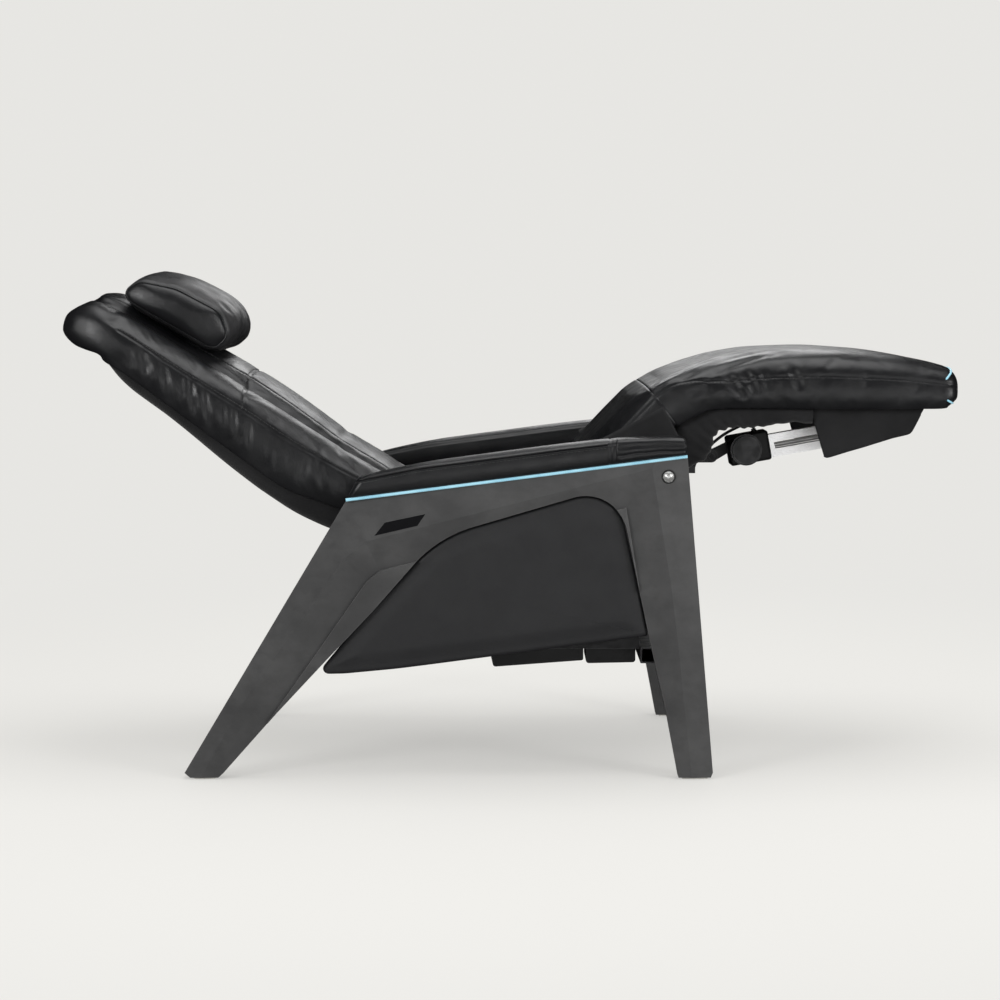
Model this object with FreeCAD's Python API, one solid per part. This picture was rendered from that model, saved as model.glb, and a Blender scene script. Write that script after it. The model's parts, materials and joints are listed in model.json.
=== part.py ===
"""Reclining lounge chair, laid back with its leg rest raised.

Frame of the part: +X points to the foot end, +Y to the occupant's left, +Z up, millimetres.
The outlines are drawn in the XZ plane and pulled along Y.  They count x from the seat pivot,
and every finished piece is moved by CENTRE_SHIFT, so that the origin lies on the floor under the
middle of the chair's overall length.
"""
import FreeCAD, Part
import math
import os

os.makedirs("parts", exist_ok=True)

V = FreeCAD.Vector
Y_AXIS = V(0, 1, 0)

# ---- driving dimensions, mm ------------------------------------------------------------------
CENTRE_SHIFT = -3.4         # from the seat pivot to the middle of the overall length
FRAME_OUT = 380             # outer face of a side frame, from the middle of the chair
FRAME_IN = 340              # inner face of a side frame
GLIDE = 3                   # thickness of a foot glide
FACET_SLOPE = 0.11          # how fast a frame facet falls away from the ridge
ARM_TOP_REAR = (-307, 527)  # top edge of a side frame, rear end
ARM_TOP_FRONT = (335, 609)  # top edge of a side frame, front end
BODY_HALF = 278             # half width of the seat and back cushions
CENTRE_HALF = 160           # half width of the back's raised middle panel
CENTRE_RAISE = 24           # how far that panel stands above the side bolsters
LEG_HALF = 268              # half width of the leg rest cushion
TUBE_R = 11                 # radius of the round steel tubes
TUBE_WALL = 2
WELD_GAP = 0.1              # between a cross tube and the tube it is welded to
SEAT_TUBE_Y = 225
LEG_TUBE_Y = 231
CROSS_HALF = 296            # the seat's main cross tubes reach the hanger plates
HANGER_T = 8
RAIL_DEPTH = 30             # width of the base rails along Y
PIN_R = 6                   # radius of the actuator pins
RUN = 0.05                  # running clearance of a pin in its hole, on the radius

# ---- joint axes in the XZ plane --------------------------------------------------------------
SEAT_PIVOT = (0, 530)
KNEE_PIVOT = (388, 664)
BASE_CLEVIS = (272, 262)    # where the recline actuator hangs on the base
CRANK_PIN = (0, 352)        # where it pushes the seat
SEAT_CLEVIS = (409, 588)    # where the leg rest actuator hangs on the seat
DRIVE_PIN = (655, 632)      # where it pushes the leg rest
RECLINE_DROP = -35          # the recline rail runs this far below the line between its pins
LEG_DROP = 0

# middle line of a bent seat tube, with the radii of its two bends
SPINE = [(-752, 773), (-440, 538, 250), (52, 358, 110), (330, 645)]
# middles of the seat's cross tubes: x along the seat tube
HEAD_CROSS_X = -600
LUMBAR_CROSS_X = -480
HIP_CROSS_X = -150
THIGH_CROSS_X = 125
FRONT_CROSS_X = 300

# ---- actuator sizes, along (u) and across (w) the line from clevis to pin ---------------------
BOX_U = (34, 118)
BOX_W = (-26, 34)
BOX_HALF = 30
CABLE_ENTRY = (92, -12, BOX_W[1])
GLAND_TOP = 8               # height of the cable gland, 2 mm of it sunk in the gearbox
MOTOR_AT = (64, 7)
MOTOR_R = 31
RAIL_HALF_W = 23
RAIL_HALF_Y = 15
SLOT_HALF = 7
SPINDLE_R = 5
SLIDER_HALF = 16
PLATE_OUT = 20              # outer face of the slider's cheeks
FORK = (28, 34)             # plates that the slider pins push on
FORK_HOLE = 6.6

nodes = {}


# ---- small helpers ---------------------------------------------------------------------------
def at(point, y=0):
    return V(point[0], y, point[1])


def rounded_corner(before, corner, after):
    """Start, middle and end of the arc that rounds one corner; all equal on a sharp corner."""
    here = at(corner)
    if len(corner) < 3:
        return here, here, here
    to_before = (at(before) - here).normalize()
    to_after = (at(after) - here).normalize()
    half = to_before.getAngle(to_after) / 2
    reach = corner[2] / math.tan(half)
    inward = (to_before + to_after).normalize()
    middle = here + inward * (corner[2] / math.sin(half) - corner[2])
    return here + to_before * reach, middle, here + to_after * reach


def path_edges(points, closed):
    """Lines and arcs through points (x, z) or (x, z, corner radius)."""
    count = len(points)
    corners = []
    for i, point in enumerate(points):
        inner = closed or 0 < i < count - 1
        if inner:
            corners.append(rounded_corner(points[i - 1], point, points[(i + 1) % count]))
        else:
            corners.append((at(point), at(point), at(point)))
    edges = []
    for i, (start, middle, end) in enumerate(corners):
        if (end - start).Length > 1e-6:
            edges.append(Part.Arc(start, middle, end).toShape())
        if closed or i < count - 1:
            following = corners[(i + 1) % count][0]
            if (following - end).dot(at(points[(i + 1) % count]) - at(points[i])) < -1e-6:
                raise ValueError("corner radii overlap near " + str(points[i]))
            if (following - end).Length > 1e-6:
                edges.append(Part.makeLine(end, following))
    return edges


def slab(points, y0, y1):
    """The outline through the points, pulled along Y from y0 to y1."""
    face = Part.Face(Part.Wire(path_edges(points, True)))
    face.translate(V(0, y0, 0))
    return face.extrude(V(0, y1 - y0, 0))


def box(x, y, z):
    return Part.makeBox(x[1] - x[0], y[1] - y[0], z[1] - z[0], V(x[0], y[0], z[0]))


def rod(point, radius, y0, y1):
    """A round bar along Y."""
    return Part.makeCylinder(radius, y1 - y0, at(point, y0), Y_AXIS)


def bar(start, end, radius):
    """A round bar between any two points."""
    return Part.makeCylinder(radius, (end - start).Length, start, end - start)


def swept(edges, radius):
    """A round bar along a path of edges."""
    path = Part.Wire(edges)
    first = path.Edges[0]
    ring = Part.makeCircle(radius, first.valueAt(first.FirstParameter),
                           first.tangentAt(first.FirstParameter))
    return path.makePipeShell([Part.Wire(ring)], True, True)


def mirrored(shape):
    return shape.mirror(V(0, 0, 0), Y_AXIS)


def both(shape):
    """The right-hand piece and its mirror image, as two separate solids."""
    return Part.makeCompound([shape, mirrored(shape)])


def joined(shapes):
    return shapes[0].multiFuse(shapes[1:]).removeSplitter()


def save(name, shape):
    nodes[name] = shape


def arm_top(x):
    """Height of a side frame's top edge."""
    rise = (ARM_TOP_FRONT[1] - ARM_TOP_REAR[1]) / (ARM_TOP_FRONT[0] - ARM_TOP_REAR[0])
    return ARM_TOP_REAR[1] + rise * (x - ARM_TOP_REAR[0])


def offset_points(line, distance):
    """The line's points moved square to it by distance, to its left for a positive one."""
    moved = []
    for i, point in enumerate(line):
        near = line[max(i - 1, 0):i + 2]
        normals = []
        for a, b in zip(near, near[1:]):
            length = math.hypot(b[0] - a[0], b[1] - a[1])
            normals.append((-(b[1] - a[1]) / length, (b[0] - a[0]) / length))
        nx = sum(n[0] for n in normals) / len(normals)
        nz = sum(n[1] for n in normals) / len(normals)
        stretch = distance / (nx * nx + nz * nz)
        moved.append((point[0] + nx * stretch, point[1] + nz * stretch))
    return moved


def above_spine(offset):
    """The seat tube's middle line, moved square to itself by offset towards the cushions."""
    places = offset_points(SPINE, offset)
    radii = [(point[2] - offset,) if len(point) > 2 else () for point in SPINE]
    return [place + radius for place, radius in zip(places, radii)]


def spine_height(x):
    """Height of the seat tube's middle line on its straight stretches."""
    for a, b in zip(SPINE, SPINE[1:]):
        if a[0] <= x <= b[0]:
            return a[1] + (b[1] - a[1]) * (x - a[0]) / (b[0] - a[0])
    raise ValueError(x)


def direction(start, end):
    return math.degrees(math.atan2(end[1] - start[1], end[0] - start[0]))


def placed(shape, origin, angle):
    """A shape drawn along (u, w) from the origin, turned up by angle and set at its clevis."""
    shape = shape.copy()
    shape.rotate(V(0, 0, 0), Y_AXIS, -angle)
    shape.translate(at(origin))
    return shape


# ---- side frames -----------------------------------------------------------------------------
FRAME_OUTLINE = [
    (-603, GLIDE), (-614, GLIDE + 9), ARM_TOP_REAR, ARM_TOP_FRONT, (386, GLIDE + 9), (382, GLIDE),
    (321, GLIDE), (298, 123), (265, 266), (203, 559, 79), (-134, 460, 240),
    (-256, 321), (-355, 216), (-438, 127), (-541, GLIDE + 8), (-550, GLIDE),
]
RIDGE = [(-583, GLIDE), (-504, 144), (-393, 302), (-312, 418), (-270, 452), (268, 590),
         (304, 374), (318, 262), (346, GLIDE)]
FACET_REACH = 120
FRAME_BOLT = (299, 574)
WASHER_R = 13.5
WASHER_SEAT = -376
RAIL_Z = (300, 340)
RAIL_BOLT_X = (-318, 312)
PIVOT_SCREW_X = (-34, 34)


def facet_y(distance):
    """Where a facet of the right-hand frame lies, at a distance from the ridge."""
    return -FRAME_OUT + FACET_SLOPE * distance


def facet_cuts():
    """Wedges that slope the outer face down on both sides of the ridge."""
    cuts = []
    rear, front = RIDGE[0], RIDGE[-1]
    overrun = [(rear[0] - 23, rear[1] - 40)] + RIDGE[1:-1] + [(front[0] + 4, front[1] - 40)]
    for reach in (FACET_REACH, -FACET_REACH / 2):
        far = offset_points(overrun, reach)
        for i in range(len(overrun) - 1):
            corners = [at(overrun[i], -FRAME_OUT), at(overrun[i + 1], -FRAME_OUT),
                       at(far[i + 1], facet_y(abs(reach))), at(far[i], facet_y(abs(reach)))]
            wedge = Part.Face(Part.makePolygon(corners + corners[:1]))
            cuts.append(wedge.extrude(V(0, -30, 0)))
    return cuts


def side_frame():
    frame = slab(FRAME_OUTLINE, -FRAME_OUT, -FRAME_IN)
    frame = frame.cut(facet_cuts())
    holes = [rod(FRAME_BOLT, 14, -FRAME_OUT - 5, WASHER_SEAT), rod(FRAME_BOLT, 5, -FRAME_OUT, -FRAME_IN)]
    for x in RAIL_BOLT_X:
        holes.append(rod((x, sum(RAIL_Z) / 2), 5, -FRAME_IN - 22, -FRAME_IN))
    for x in PIVOT_SCREW_X:
        holes.append(rod((x, SEAT_PIVOT[1] + 4), 3, -FRAME_IN - 20, -FRAME_IN))
    holes.append(rod(SEAT_PIVOT, 12, -FRAME_IN - 8, -FRAME_IN))
    holes.append(name_plate())
    return frame.cut(holes)


def name_plate():
    """A blank plate, sunk into the facet above the ridge at the rear corner."""
    start, end = RIDGE[4], RIDGE[5]
    length = math.hypot(end[0] - start[0], end[1] - start[1])
    along = ((end[0] - start[0]) / length, (end[1] - start[1]) / length)
    corners = []
    for point in [(-253, 463), (-172, 482), (-157, 504), (-233, 488)]:
        offset = along[0] * (point[1] - start[1]) - along[1] * (point[0] - start[0])
        corners.append(at(point, facet_y(offset) - 0.6))
    face = Part.Face(Part.makePolygon(corners + corners[:1]))
    return face.extrude(V(0, 2.2, 0))


def foot_glides():
    glides = []
    for x0, x1 in [(-596, -556), (328, 376)]:
        glides.append(box((x0, x1), (-FRAME_IN - 33, -FRAME_IN - 7), (0, GLIDE)))
    return Part.makeCompound(glides + [mirrored(g) for g in glides])


def frame_bolt():
    head = rod(FRAME_BOLT, 10, WASHER_SEAT - 4, WASHER_SEAT - 1.5)
    dome = Part.makeSphere(14, at(FRAME_BOLT, WASHER_SEAT + 6))
    dome = dome.common(rod(FRAME_BOLT, 10, WASHER_SEAT - 9, WASHER_SEAT - 4))
    socket = rod(FRAME_BOLT, 3, WASHER_SEAT - 9, WASHER_SEAT - 5)
    shank = rod(FRAME_BOLT, 4.8, WASHER_SEAT - 1.5, -FRAME_IN + 14)
    return joined([head, dome, shank]).cut(socket)


def bolt_washer():
    ring = rod(FRAME_BOLT, WASHER_R, WASHER_SEAT - 1.5, WASHER_SEAT)
    return ring.cut(rod(FRAME_BOLT, 5, WASHER_SEAT - 2, WASHER_SEAT + 1))


# ---- arm rests -------------------------------------------------------------------------------
PIPING_R = 3
BOARD_TOP = 8
PAD_Y = (-384, -312)


def armrest_board():
    ends = (-296, 322)
    points = [(ends[0], arm_top(ends[0]) + 0.4), (ends[1], arm_top(ends[1]) + 0.4),
              (ends[1], arm_top(ends[1]) + BOARD_TOP), (ends[0], arm_top(ends[0]) + BOARD_TOP)]
    return slab(points, -372, -318)


def armrest_pad():
    base = BOARD_TOP + 0.4
    points = [(-303, arm_top(-303) + base), (-284, 572, 12), (-172, 596, 200), (95, 631), (208, 644),
              (333, 648, 8), (333, arm_top(333) + base)]
    return slab(points, *PAD_Y)


def arm_piping():
    start = V(-306, -378, arm_top(-306) + PIPING_R + 0.2)
    end = V(334, -378, arm_top(334) + PIPING_R + 0.2)
    return bar(start, end, PIPING_R)


# ---- side panels -----------------------------------------------------------------------------
PANEL_GAP = 4
PANEL_OUT = 369
PANEL_IN = 352


def panel_points(gap):
    """The frame's opening, drawn in by a gap, closed by the panel's own sloping lower edge."""
    edge = [(-355, 204), (-256, 321), (-134, 460, 240), (203, 559, 79), (264, 270)]
    inner = offset_points([p[:2] for p in edge], -gap)
    return [(-352 + gap, 201, 8), inner[1], inner[2] + (240 - gap,), inner[3] + (79 - gap,),
            (264 - gap, 274), (-38, 234, 900), (-212, 211, 900), (-300, 202, 200)]


def side_panel():
    return slab(panel_points(PANEL_GAP), -PANEL_OUT, -PANEL_IN)


def panel_board():
    return slab(panel_points(PANEL_GAP + 3), -PANEL_IN + 0.4, -FRAME_IN - 1)


# ---- base rails ------------------------------------------------------------------------------
def hollow(outer, wall, along):
    """A rectangular tube: outer is its three ranges, open along one of them."""
    inner = [(low + wall, high - wall) for low, high in outer]
    inner[along] = (outer[along][0] - 1, outer[along][1] + 1)
    return box(*outer).cut(box(*inner))


def side_rail():
    y_range = (-FRAME_IN + 0.2, -FRAME_IN + RAIL_DEPTH)
    rail = hollow([(-340, 330), y_range, RAIL_Z], 2.5, 0)
    holes = [rod((x, sum(RAIL_Z) / 2), 4.2, -FRAME_IN, -FRAME_IN + RAIL_DEPTH) for x in RAIL_BOLT_X]
    return rail.cut(holes)


def rail_bolt(x):
    centre = (x, sum(RAIL_Z) / 2)
    inside = -FRAME_IN + RAIL_DEPTH
    shank = rod(centre, 4, -FRAME_IN - 20, inside)
    head = rod(centre, 8, inside, inside + 5)
    return joined([shank, head])


CROSS_X = (250, 300)
CROSS_Z = (216, 246)
REAR_X = (-340, -300)


def clevis_plates(inner, outer, outline):
    """Two equal plates either side of the middle, each from inner to outer along Y."""
    plate = slab(outline, -outer, -inner)
    return [plate, mirrored(plate)]


def front_cross_rail():
    """The front rail with the two clevis plates and the pin that carry the recline actuator."""
    rail = hollow([CROSS_X, (-FRAME_IN + 0.2, FRAME_IN - 0.2), CROSS_Z], 2.5, 1)
    x, z = BASE_CLEVIS
    outline = [(x - 20, CROSS_Z[1]), (x + 20, CROSS_Z[1]), (x + 13, z + 13, 12), (x - 13, z + 13, 12)]
    plates = clevis_plates(14, 20, outline)
    pin = rod(BASE_CLEVIS, PIN_R, -24, 24)
    return joined([rail] + plates + [pin])


def rear_cross_rail():
    reach = FRAME_IN - RAIL_DEPTH - 0.2
    return hollow([REAR_X, (-reach, reach), RAIL_Z], 2.5, 1)


# ---- seat pivot ------------------------------------------------------------------------------
PIVOT_PLATE = (-FRAME_IN + 0.2, -FRAME_IN + 7)
AXLE_R = 8
BUSH_R = 12


def pivot_plate():
    """Steel plate inside the arm rail: it carries the axle and takes the big front bolt."""
    points = [(-50, 493, 6), (121, 544, 100), (200, 556, 100), (290, 556, 10), (318, 570, 10),
              (314, 592, 8), (-50, 552, 6)]
    plate = slab(points, *PIVOT_PLATE)
    holes = [rod(SEAT_PIVOT, AXLE_R, *PIVOT_PLATE), rod(FRAME_BOLT, 4.8, *PIVOT_PLATE)]
    for x in PIVOT_SCREW_X:
        holes.append(rod((x, SEAT_PIVOT[1] + 4), 3, *PIVOT_PLATE))
    return plate.cut(holes)


def pivot_axle():
    """Stub axle with its retaining collar inside the hanger plate."""
    shaft = rod(SEAT_PIVOT, AXLE_R, -FRAME_IN - 6, -CROSS_HALF + 8)
    collar = rod(SEAT_PIVOT, 14, -CROSS_HALF + 1.5, -CROSS_HALF + 5)
    shoulder = rod(SEAT_PIVOT, 14, PIVOT_PLATE[1], -CROSS_HALF - HANGER_T - 1.5)
    return joined([shaft, collar, shoulder])


def pivot_bushing():
    ring = rod(SEAT_PIVOT, BUSH_R, -CROSS_HALF - HANGER_T - 0.5, -CROSS_HALF + 0.5)
    return ring.cut(rod(SEAT_PIVOT, AXLE_R + RUN, -CROSS_HALF - HANGER_T - 1, -CROSS_HALF + 1))


def hanger_plate():
    """Plate that hangs the seat's two main cross tubes from the pivot."""
    hip = (HIP_CROSS_X, spine_height(HIP_CROSS_X))
    thigh = (THIGH_CROSS_X, spine_height(THIGH_CROSS_X))
    y0, y1 = -CROSS_HALF - HANGER_T, -CROSS_HALF
    points = [(hip[0] - 26, hip[1] - 6, 20), (hip[0] - 8, hip[1] + 26, 20), (-24, SEAT_PIVOT[1] + 30, 24),
              (26, SEAT_PIVOT[1] + 30, 24), (thigh[0] + 30, thigh[1] + 6, 20),
              (thigh[0] + 8, thigh[1] - 24, 20), (30, 448, 60), (-30, 448, 60), (hip[0] + 2, hip[1] - 24, 20)]
    return slab(points, y0, y1).cut(rod(SEAT_PIVOT, BUSH_R, y0, y1))


# ---- seat frame ------------------------------------------------------------------------------
def seat_tube_bar(radius):
    bar_shape = swept(path_edges(SPINE, False), radius)
    bar_shape.translate(V(0, -SEAT_TUBE_Y, 0))
    return bar_shape


def seat_tube():
    return seat_tube_bar(TUBE_R).cut(seat_tube_bar(TUBE_R - TUBE_WALL))


def cross_place(x):
    return (x, spine_height(x))


def tube_y(point, y0, y1):
    """A hollow round tube along Y."""
    return rod(point, TUBE_R, y0, y1).cut(rod(point, TUBE_R - TUBE_WALL, y0, y1))


def seat_cross_tubes():
    """Short ones stop at the seat tubes; the hip and thigh ones carry on to the hanger plates."""
    side_tube = seat_tube_bar(TUBE_R + WELD_GAP)
    side_tubes = [side_tube, mirrored(side_tube)]
    tubes = []
    for x in (HEAD_CROSS_X, LUMBAR_CROSS_X, FRONT_CROSS_X):
        tubes.append(tube_y(cross_place(x), -SEAT_TUBE_Y, SEAT_TUBE_Y))
    for x in (HIP_CROSS_X, THIGH_CROSS_X):
        tubes.append(tube_y(cross_place(x), -CROSS_HALF, CROSS_HALF))
    return Part.makeCompound([piece for tube in tubes for piece in tube.cut(side_tubes).Solids])


DECK_T = 4
DECK_LOW = TUBE_R + 0.2
CUSHION_LOW = DECK_LOW + DECK_T + 0.3


def spine_band(low, high):
    """Closed outline between two lines parallel to the seat tube."""
    return above_spine(low) + above_spine(high)[::-1]


def decks():
    """Bent sheet that the cushions rest on, in a back piece and a seat piece."""
    whole = slab(spine_band(DECK_LOW, DECK_LOW + DECK_T), -240, 240)
    split = box((-104, -100), (-300, 300), (300, 600))
    pieces = sorted(whole.cut(split).Solids, key=lambda s: s.CenterOfMass.x)
    return pieces


def recline_crank():
    """Pair of plates under the hips, with a short slot for the recline actuator's pin."""
    hip, thigh = cross_place(HIP_CROSS_X), cross_place(THIGH_CROSS_X)
    x, z = CRANK_PIN
    outline = [(hip[0] - 4, hip[1] + 6), (-60, 403, 200), (x + 5, z + 33, 60), (70, 388, 60),
               (thigh[0] + 4, thigh[1] + 8), (thigh[0] + 8, thigh[1] - 8), (62, 350, 60),
               (x + 16, z - 18, 20), (x - 18, z - 18, 20), (-60, 378, 60), (hip[0] - 2, hip[1] - 10)]
    cuts = [rod(hip, TUBE_R, -60, 60), rod(thigh, TUBE_R, -60, 60), pin_slot(CRANK_PIN, (0, -1), (0, 7))]
    plates = [plate.cut(cuts) for plate in clevis_plates(*FORK, outline)]
    return Part.makeCompound(plates)


def pin_slot(place, first, last):
    """A slot that leaves an actuator pin room to wander between two offsets from its place."""
    start = (place[0] + first[0], place[1] + first[1])
    end = (place[0] + last[0], place[1] + last[1])
    length = math.hypot(end[0] - start[0], end[1] - start[1])
    side = ((end[1] - start[1]) / length * FORK_HOLE, -(end[0] - start[0]) / length * FORK_HOLE)
    waist = slab([(start[0] + side[0], start[1] + side[1]), (end[0] + side[0], end[1] + side[1]),
                  (end[0] - side[0], end[1] - side[1]), (start[0] - side[0], start[1] - side[1])], -60, 60)
    return joined([waist, rod(start, FORK_HOLE, -60, 60), rod(end, FORK_HOLE, -60, 60)])


CLIP_X = (356, 372)
CLIP_TOP = 571


def legrest_clevis():
    """Plates and pin on the front cross tube for the leg rest actuator, and its lead's clip."""
    tube = cross_place(FRONT_CROSS_X)
    x, z = SEAT_CLEVIS
    outline = [(tube[0] - 16, tube[1] - 6, 10), (tube[0], tube[1] + 16, 10), (x - 50, z + 22, 30),
               (x + 10, z + 13, 12), (x + 12, z - 12, 12), (x - 30, z - 12), (x - 36, z - 30, 4),
               (x - 54, z - 30, 4), (x - 60, z - 12), (tube[0] + 10, tube[1] - 18, 10)]
    plates = [p.cut(rod(tube, TUBE_R, -60, 60)) for p in clevis_plates(14, 20, outline)]
    clip = box(CLIP_X, (-68, -52), (CLIP_TOP - 13, CLIP_TOP))
    arm = rod((sum(CLIP_X) / 2, CLIP_TOP - 7), 4, -60, -17)
    return joined(plates + [rod(SEAT_CLEVIS, PIN_R, -24, 24), clip, arm])


KNEE_PIN_R = 6
SEAT_HINGE_Y = (236.3, 241.3)
LEG_HINGE_Y = (242.3, 247.3)


def knee_hinge_plate():
    """Plate on the outside of a seat tube's front end, reaching forward to the knee pin."""
    x, z = KNEE_PIVOT
    y0, y1 = -SEAT_HINGE_Y[1], -SEAT_HINGE_Y[0]
    outline = [(306, 596, 6), (292, 612, 6), (330, 664, 20), (x - 4, z + 14), (x + 10, z - 11),
               (345, 630, 20)]
    arm = slab(outline, y0, y1)
    return joined([arm, rod(KNEE_PIVOT, 15, y0, y1)]).cut(knee_hole(KNEE_PIN_R))


def knee_hole(radius):
    return rod(KNEE_PIVOT, radius, -300, -200)


def legrest_hinge_plate():
    x, z = KNEE_PIVOT
    y0, y1 = -LEG_HINGE_Y[1], -LEG_HINGE_Y[0]
    outline = [(x - 4, z + 14), (430, 696, 20), (500, 694, 6), (500, 676, 6), (440, 670, 20),
               (x + 6, z - 14)]
    arm = slab(outline, y0, y1)
    return joined([arm, rod(KNEE_PIVOT, 15, y0, y1)]).cut(knee_hole(KNEE_PIN_R + RUN))


def knee_pin():
    """Pin riveted to the seat plate, with a head outside the leg rest plate."""
    shaft = rod(KNEE_PIVOT, KNEE_PIN_R, -LEG_HINGE_Y[1] - 0.5, -SEAT_HINGE_Y[0])
    head = rod(KNEE_PIVOT, 9, -LEG_HINGE_Y[1] - 2, -LEG_HINGE_Y[1] - 0.5)
    return joined([shaft, head])


# ---- cushions --------------------------------------------------------------------------------
BACK_TOP = [(-800, 903), (-498, 727)]     # the straight stretch that the head pillow slides on
SEAT_FRONT = [(322, 668), (266, 738)]
SPLIT_X = (-103, -99)


def body_profile():
    """Seat and back together: the underside follows the tubes, the top is the lounging line."""
    under = above_spine(CUSHION_LOW)
    under[-1] = SEAT_FRONT[0]
    head = [(-768, 806, 20), (-786, 798), (-833, 816, 30), (-861, 845, 16), (-850, 878, 20)]
    top = [BACK_TOP[0] + (15,), BACK_TOP[1] + (400,), (-326, 611, 500), (-150, 512, 150), (-50, 490, 120),
           (45, 498, 90), (152, 613, 200)]
    return head[::-1] + under + [SEAT_FRONT[1]] + top[::-1]


def back_centre():
    """The raised middle panel between the back's side bolsters."""
    top = [along_back(-792, CENTRE_RAISE) + (14,), along_back(-498, CENTRE_RAISE) + (400,), (-313, 632, 300),
           (-180, 533)]
    under = [(-190, 505), (-326, 590), (-498, 700), along_back(-806, -16)]
    return slab(top + under, -CENTRE_HALF, CENTRE_HALF)


def body_cushions():
    whole = joined([slab(body_profile(), -BODY_HALF, BODY_HALF), back_centre()])
    parts = whole.cut(box(SPLIT_X, (-400, 400), (300, 700)))
    return sorted(parts.Solids, key=lambda s: s.CenterOfMass.x)


def knee_roll():
    """Padding between the seat cushion and the bend, fixed to the seat."""
    return slab([(270, 741), (326, 671), (345, 700, 20), (366, 735, 20), (364, 787), (300, 763, 60)],
                -BODY_HALF, BODY_HALF)


def back_cover():
    """Fabric sling under the back frame, open towards the cushion."""
    outer = [(-764, 786), (-762, 765, 4), (-734, 741), (-669, 693), (-486, 545, 300), (-421, 500, 300),
             (-342, 464, 300), (-215, 428), (-205, 462), (-340, 511), (-404, 531), (-480, 583)]
    inner = [(-762, 810), (-758, 768), (-732, 745), (-668, 697), (-485, 549, 300), (-420, 504, 300),
             (-341, 468, 300), (-218, 432), (-205, 520), (-440, 640)]
    cover = slab(outer, -262, 262).cut(slab(inner, -258, 258))
    return cover.cut([seat_tube_bar(TUBE_R + 0.5), mirrored(seat_tube_bar(TUBE_R + 0.5))])


def knee_sleeve():
    """Seat side of the fabric sleeve that hides the knee hinge."""
    return slab([(300, 604, 6), (330, 577, 10), (349, 583), (368, 640, 20), (366, 664, 20),
                 (350, 680), (331, 668)], -256, -250.5)


LEG_TOP = [(374, 786), (478, 805, 300), (600, 810, 600), (745, 799, 400), (850, 779, 12)]


def legrest_cushion():
    end = [(860, 750, 60), (859, 715, 14), (845, 702, 12), (828, 700)]
    return slab(LEG_TOP + end + [(430, 702), (374, 700)], -LEG_HALF, LEG_HALF)


LEG_TUBE_Z = 684


def legrest_tube_bar(radius):
    points = [(404, 672), (432, LEG_TUBE_Z, 60), (782, LEG_TUBE_Z)]
    bar_shape = swept(path_edges(points, False), radius)
    bar_shape.translate(V(0, -LEG_TUBE_Y, 0))
    return bar_shape


LEG_CROSS_X = (655, 768)


def legrest_tubes():
    """Two long tubes and their welded cross tubes."""
    sides = [legrest_tube_bar(TUBE_R), mirrored(legrest_tube_bar(TUBE_R))]
    inner = [legrest_tube_bar(TUBE_R - TUBE_WALL), mirrored(legrest_tube_bar(TUBE_R - TUBE_WALL))]
    crossings = [rod((x, LEG_TUBE_Z), TUBE_R - 1, -LEG_TUBE_Y, LEG_TUBE_Y) for x in LEG_CROSS_X]
    hollows = [rod((x, LEG_TUBE_Z), TUBE_R - 1 - TUBE_WALL, -LEG_TUBE_Y, LEG_TUBE_Y) for x in LEG_CROSS_X]
    return joined(sides + crossings).cut(inner + hollows)


def legrest_board():
    return box((412, 828), (-240, 240), (LEG_TUBE_Z + TUBE_R + 0.3, LEG_TUBE_Z + TUBE_R + 4.3))


def legrest_sleeve():
    """Leg rest side of the fabric sleeve that hides the knee hinge."""
    return slab([(398, 682, 10), (407, 655, 8), (428, 659), (469, 659), (546, 669), (583, 667), (583, 699),
                 (425, 699)], -256, -250.5)


def legrest_flap():
    """Fabric skirt that hangs below the leg rest's edge and hides the actuator."""
    return slab([(575, 699), (802, 699), (790, 686), (772, 648, 8), (736, 639, 20), (654, 614), (608, 600, 6),
                 (600, 614)], -248, -245.4)


def foot_piping():
    """Thin cord sewn round the border of the foot end."""
    x, half, low, high, r = 863.5, 252, 714, 768, 14
    loop = []
    corners = [(-half, low), (half, low), (half, high), (-half, high)]
    for i, (y, z) in enumerate(corners):
        before, after = corners[i - 1], corners[(i + 1) % 4]
        to_before = V(0, before[0] - y, before[1] - z).normalize()
        to_after = V(0, after[0] - y, after[1] - z).normalize()
        here = V(x, y, z)
        middle = here + (to_before + to_after).normalize() * (r * (math.sqrt(2) - 1))
        loop.append((here + to_before * r, middle, here + to_after * r))
    edges = []
    for i, (start, middle, end) in enumerate(loop):
        edges.append(Part.Arc(start, middle, end).toShape())
        edges.append(Part.makeLine(end, loop[(i + 1) % 4][0]))
    return swept(edges, 2)


def drive_bracket():
    """Pair of plates under the leg rest's middle cross tube, slotted for the actuator's pins."""
    x, z = DRIVE_PIN
    outline = [(x - 30, LEG_TUBE_Z, 6), (x + 30, LEG_TUBE_Z, 6), (x + 24, z - 14, 14), (x + 6, z - 24, 10),
               (x - 12, z - 20, 14), (x - 18, z, 20)]
    tube = rod((x, LEG_TUBE_Z), TUBE_R - 1, -60, 60)
    slot = pin_slot(DRIVE_PIN, (-0.6, 1), (5, -8))
    return Part.makeCompound([p.cut([tube, slot]) for p in clevis_plates(*FORK, outline)])


# ---- actuators -------------------------------------------------------------------------------
def gearbox(drop):
    """Housing with the eye that hangs on the clevis pin."""
    body = box(BOX_U, (-BOX_HALF, BOX_HALF), (BOX_W[0] + drop, BOX_W[1] + drop))
    body = body.makeFillet(6, body.Edges)
    arm = slab([(0, 12), (BOX_U[0] + 8, drop + 24), (BOX_U[0] + 8, drop + 4), (0, -12)], -11, 11)
    eye = rod((0, 0), 12, -11, 11)
    u, y, w = CABLE_ENTRY
    gland = Part.makeCylinder(5, GLAND_TOP, V(u, y, drop + w - 2))
    return joined([body, arm, eye, gland]).cut(rod((0, 0), PIN_R + RUN, -12, 12))


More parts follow.
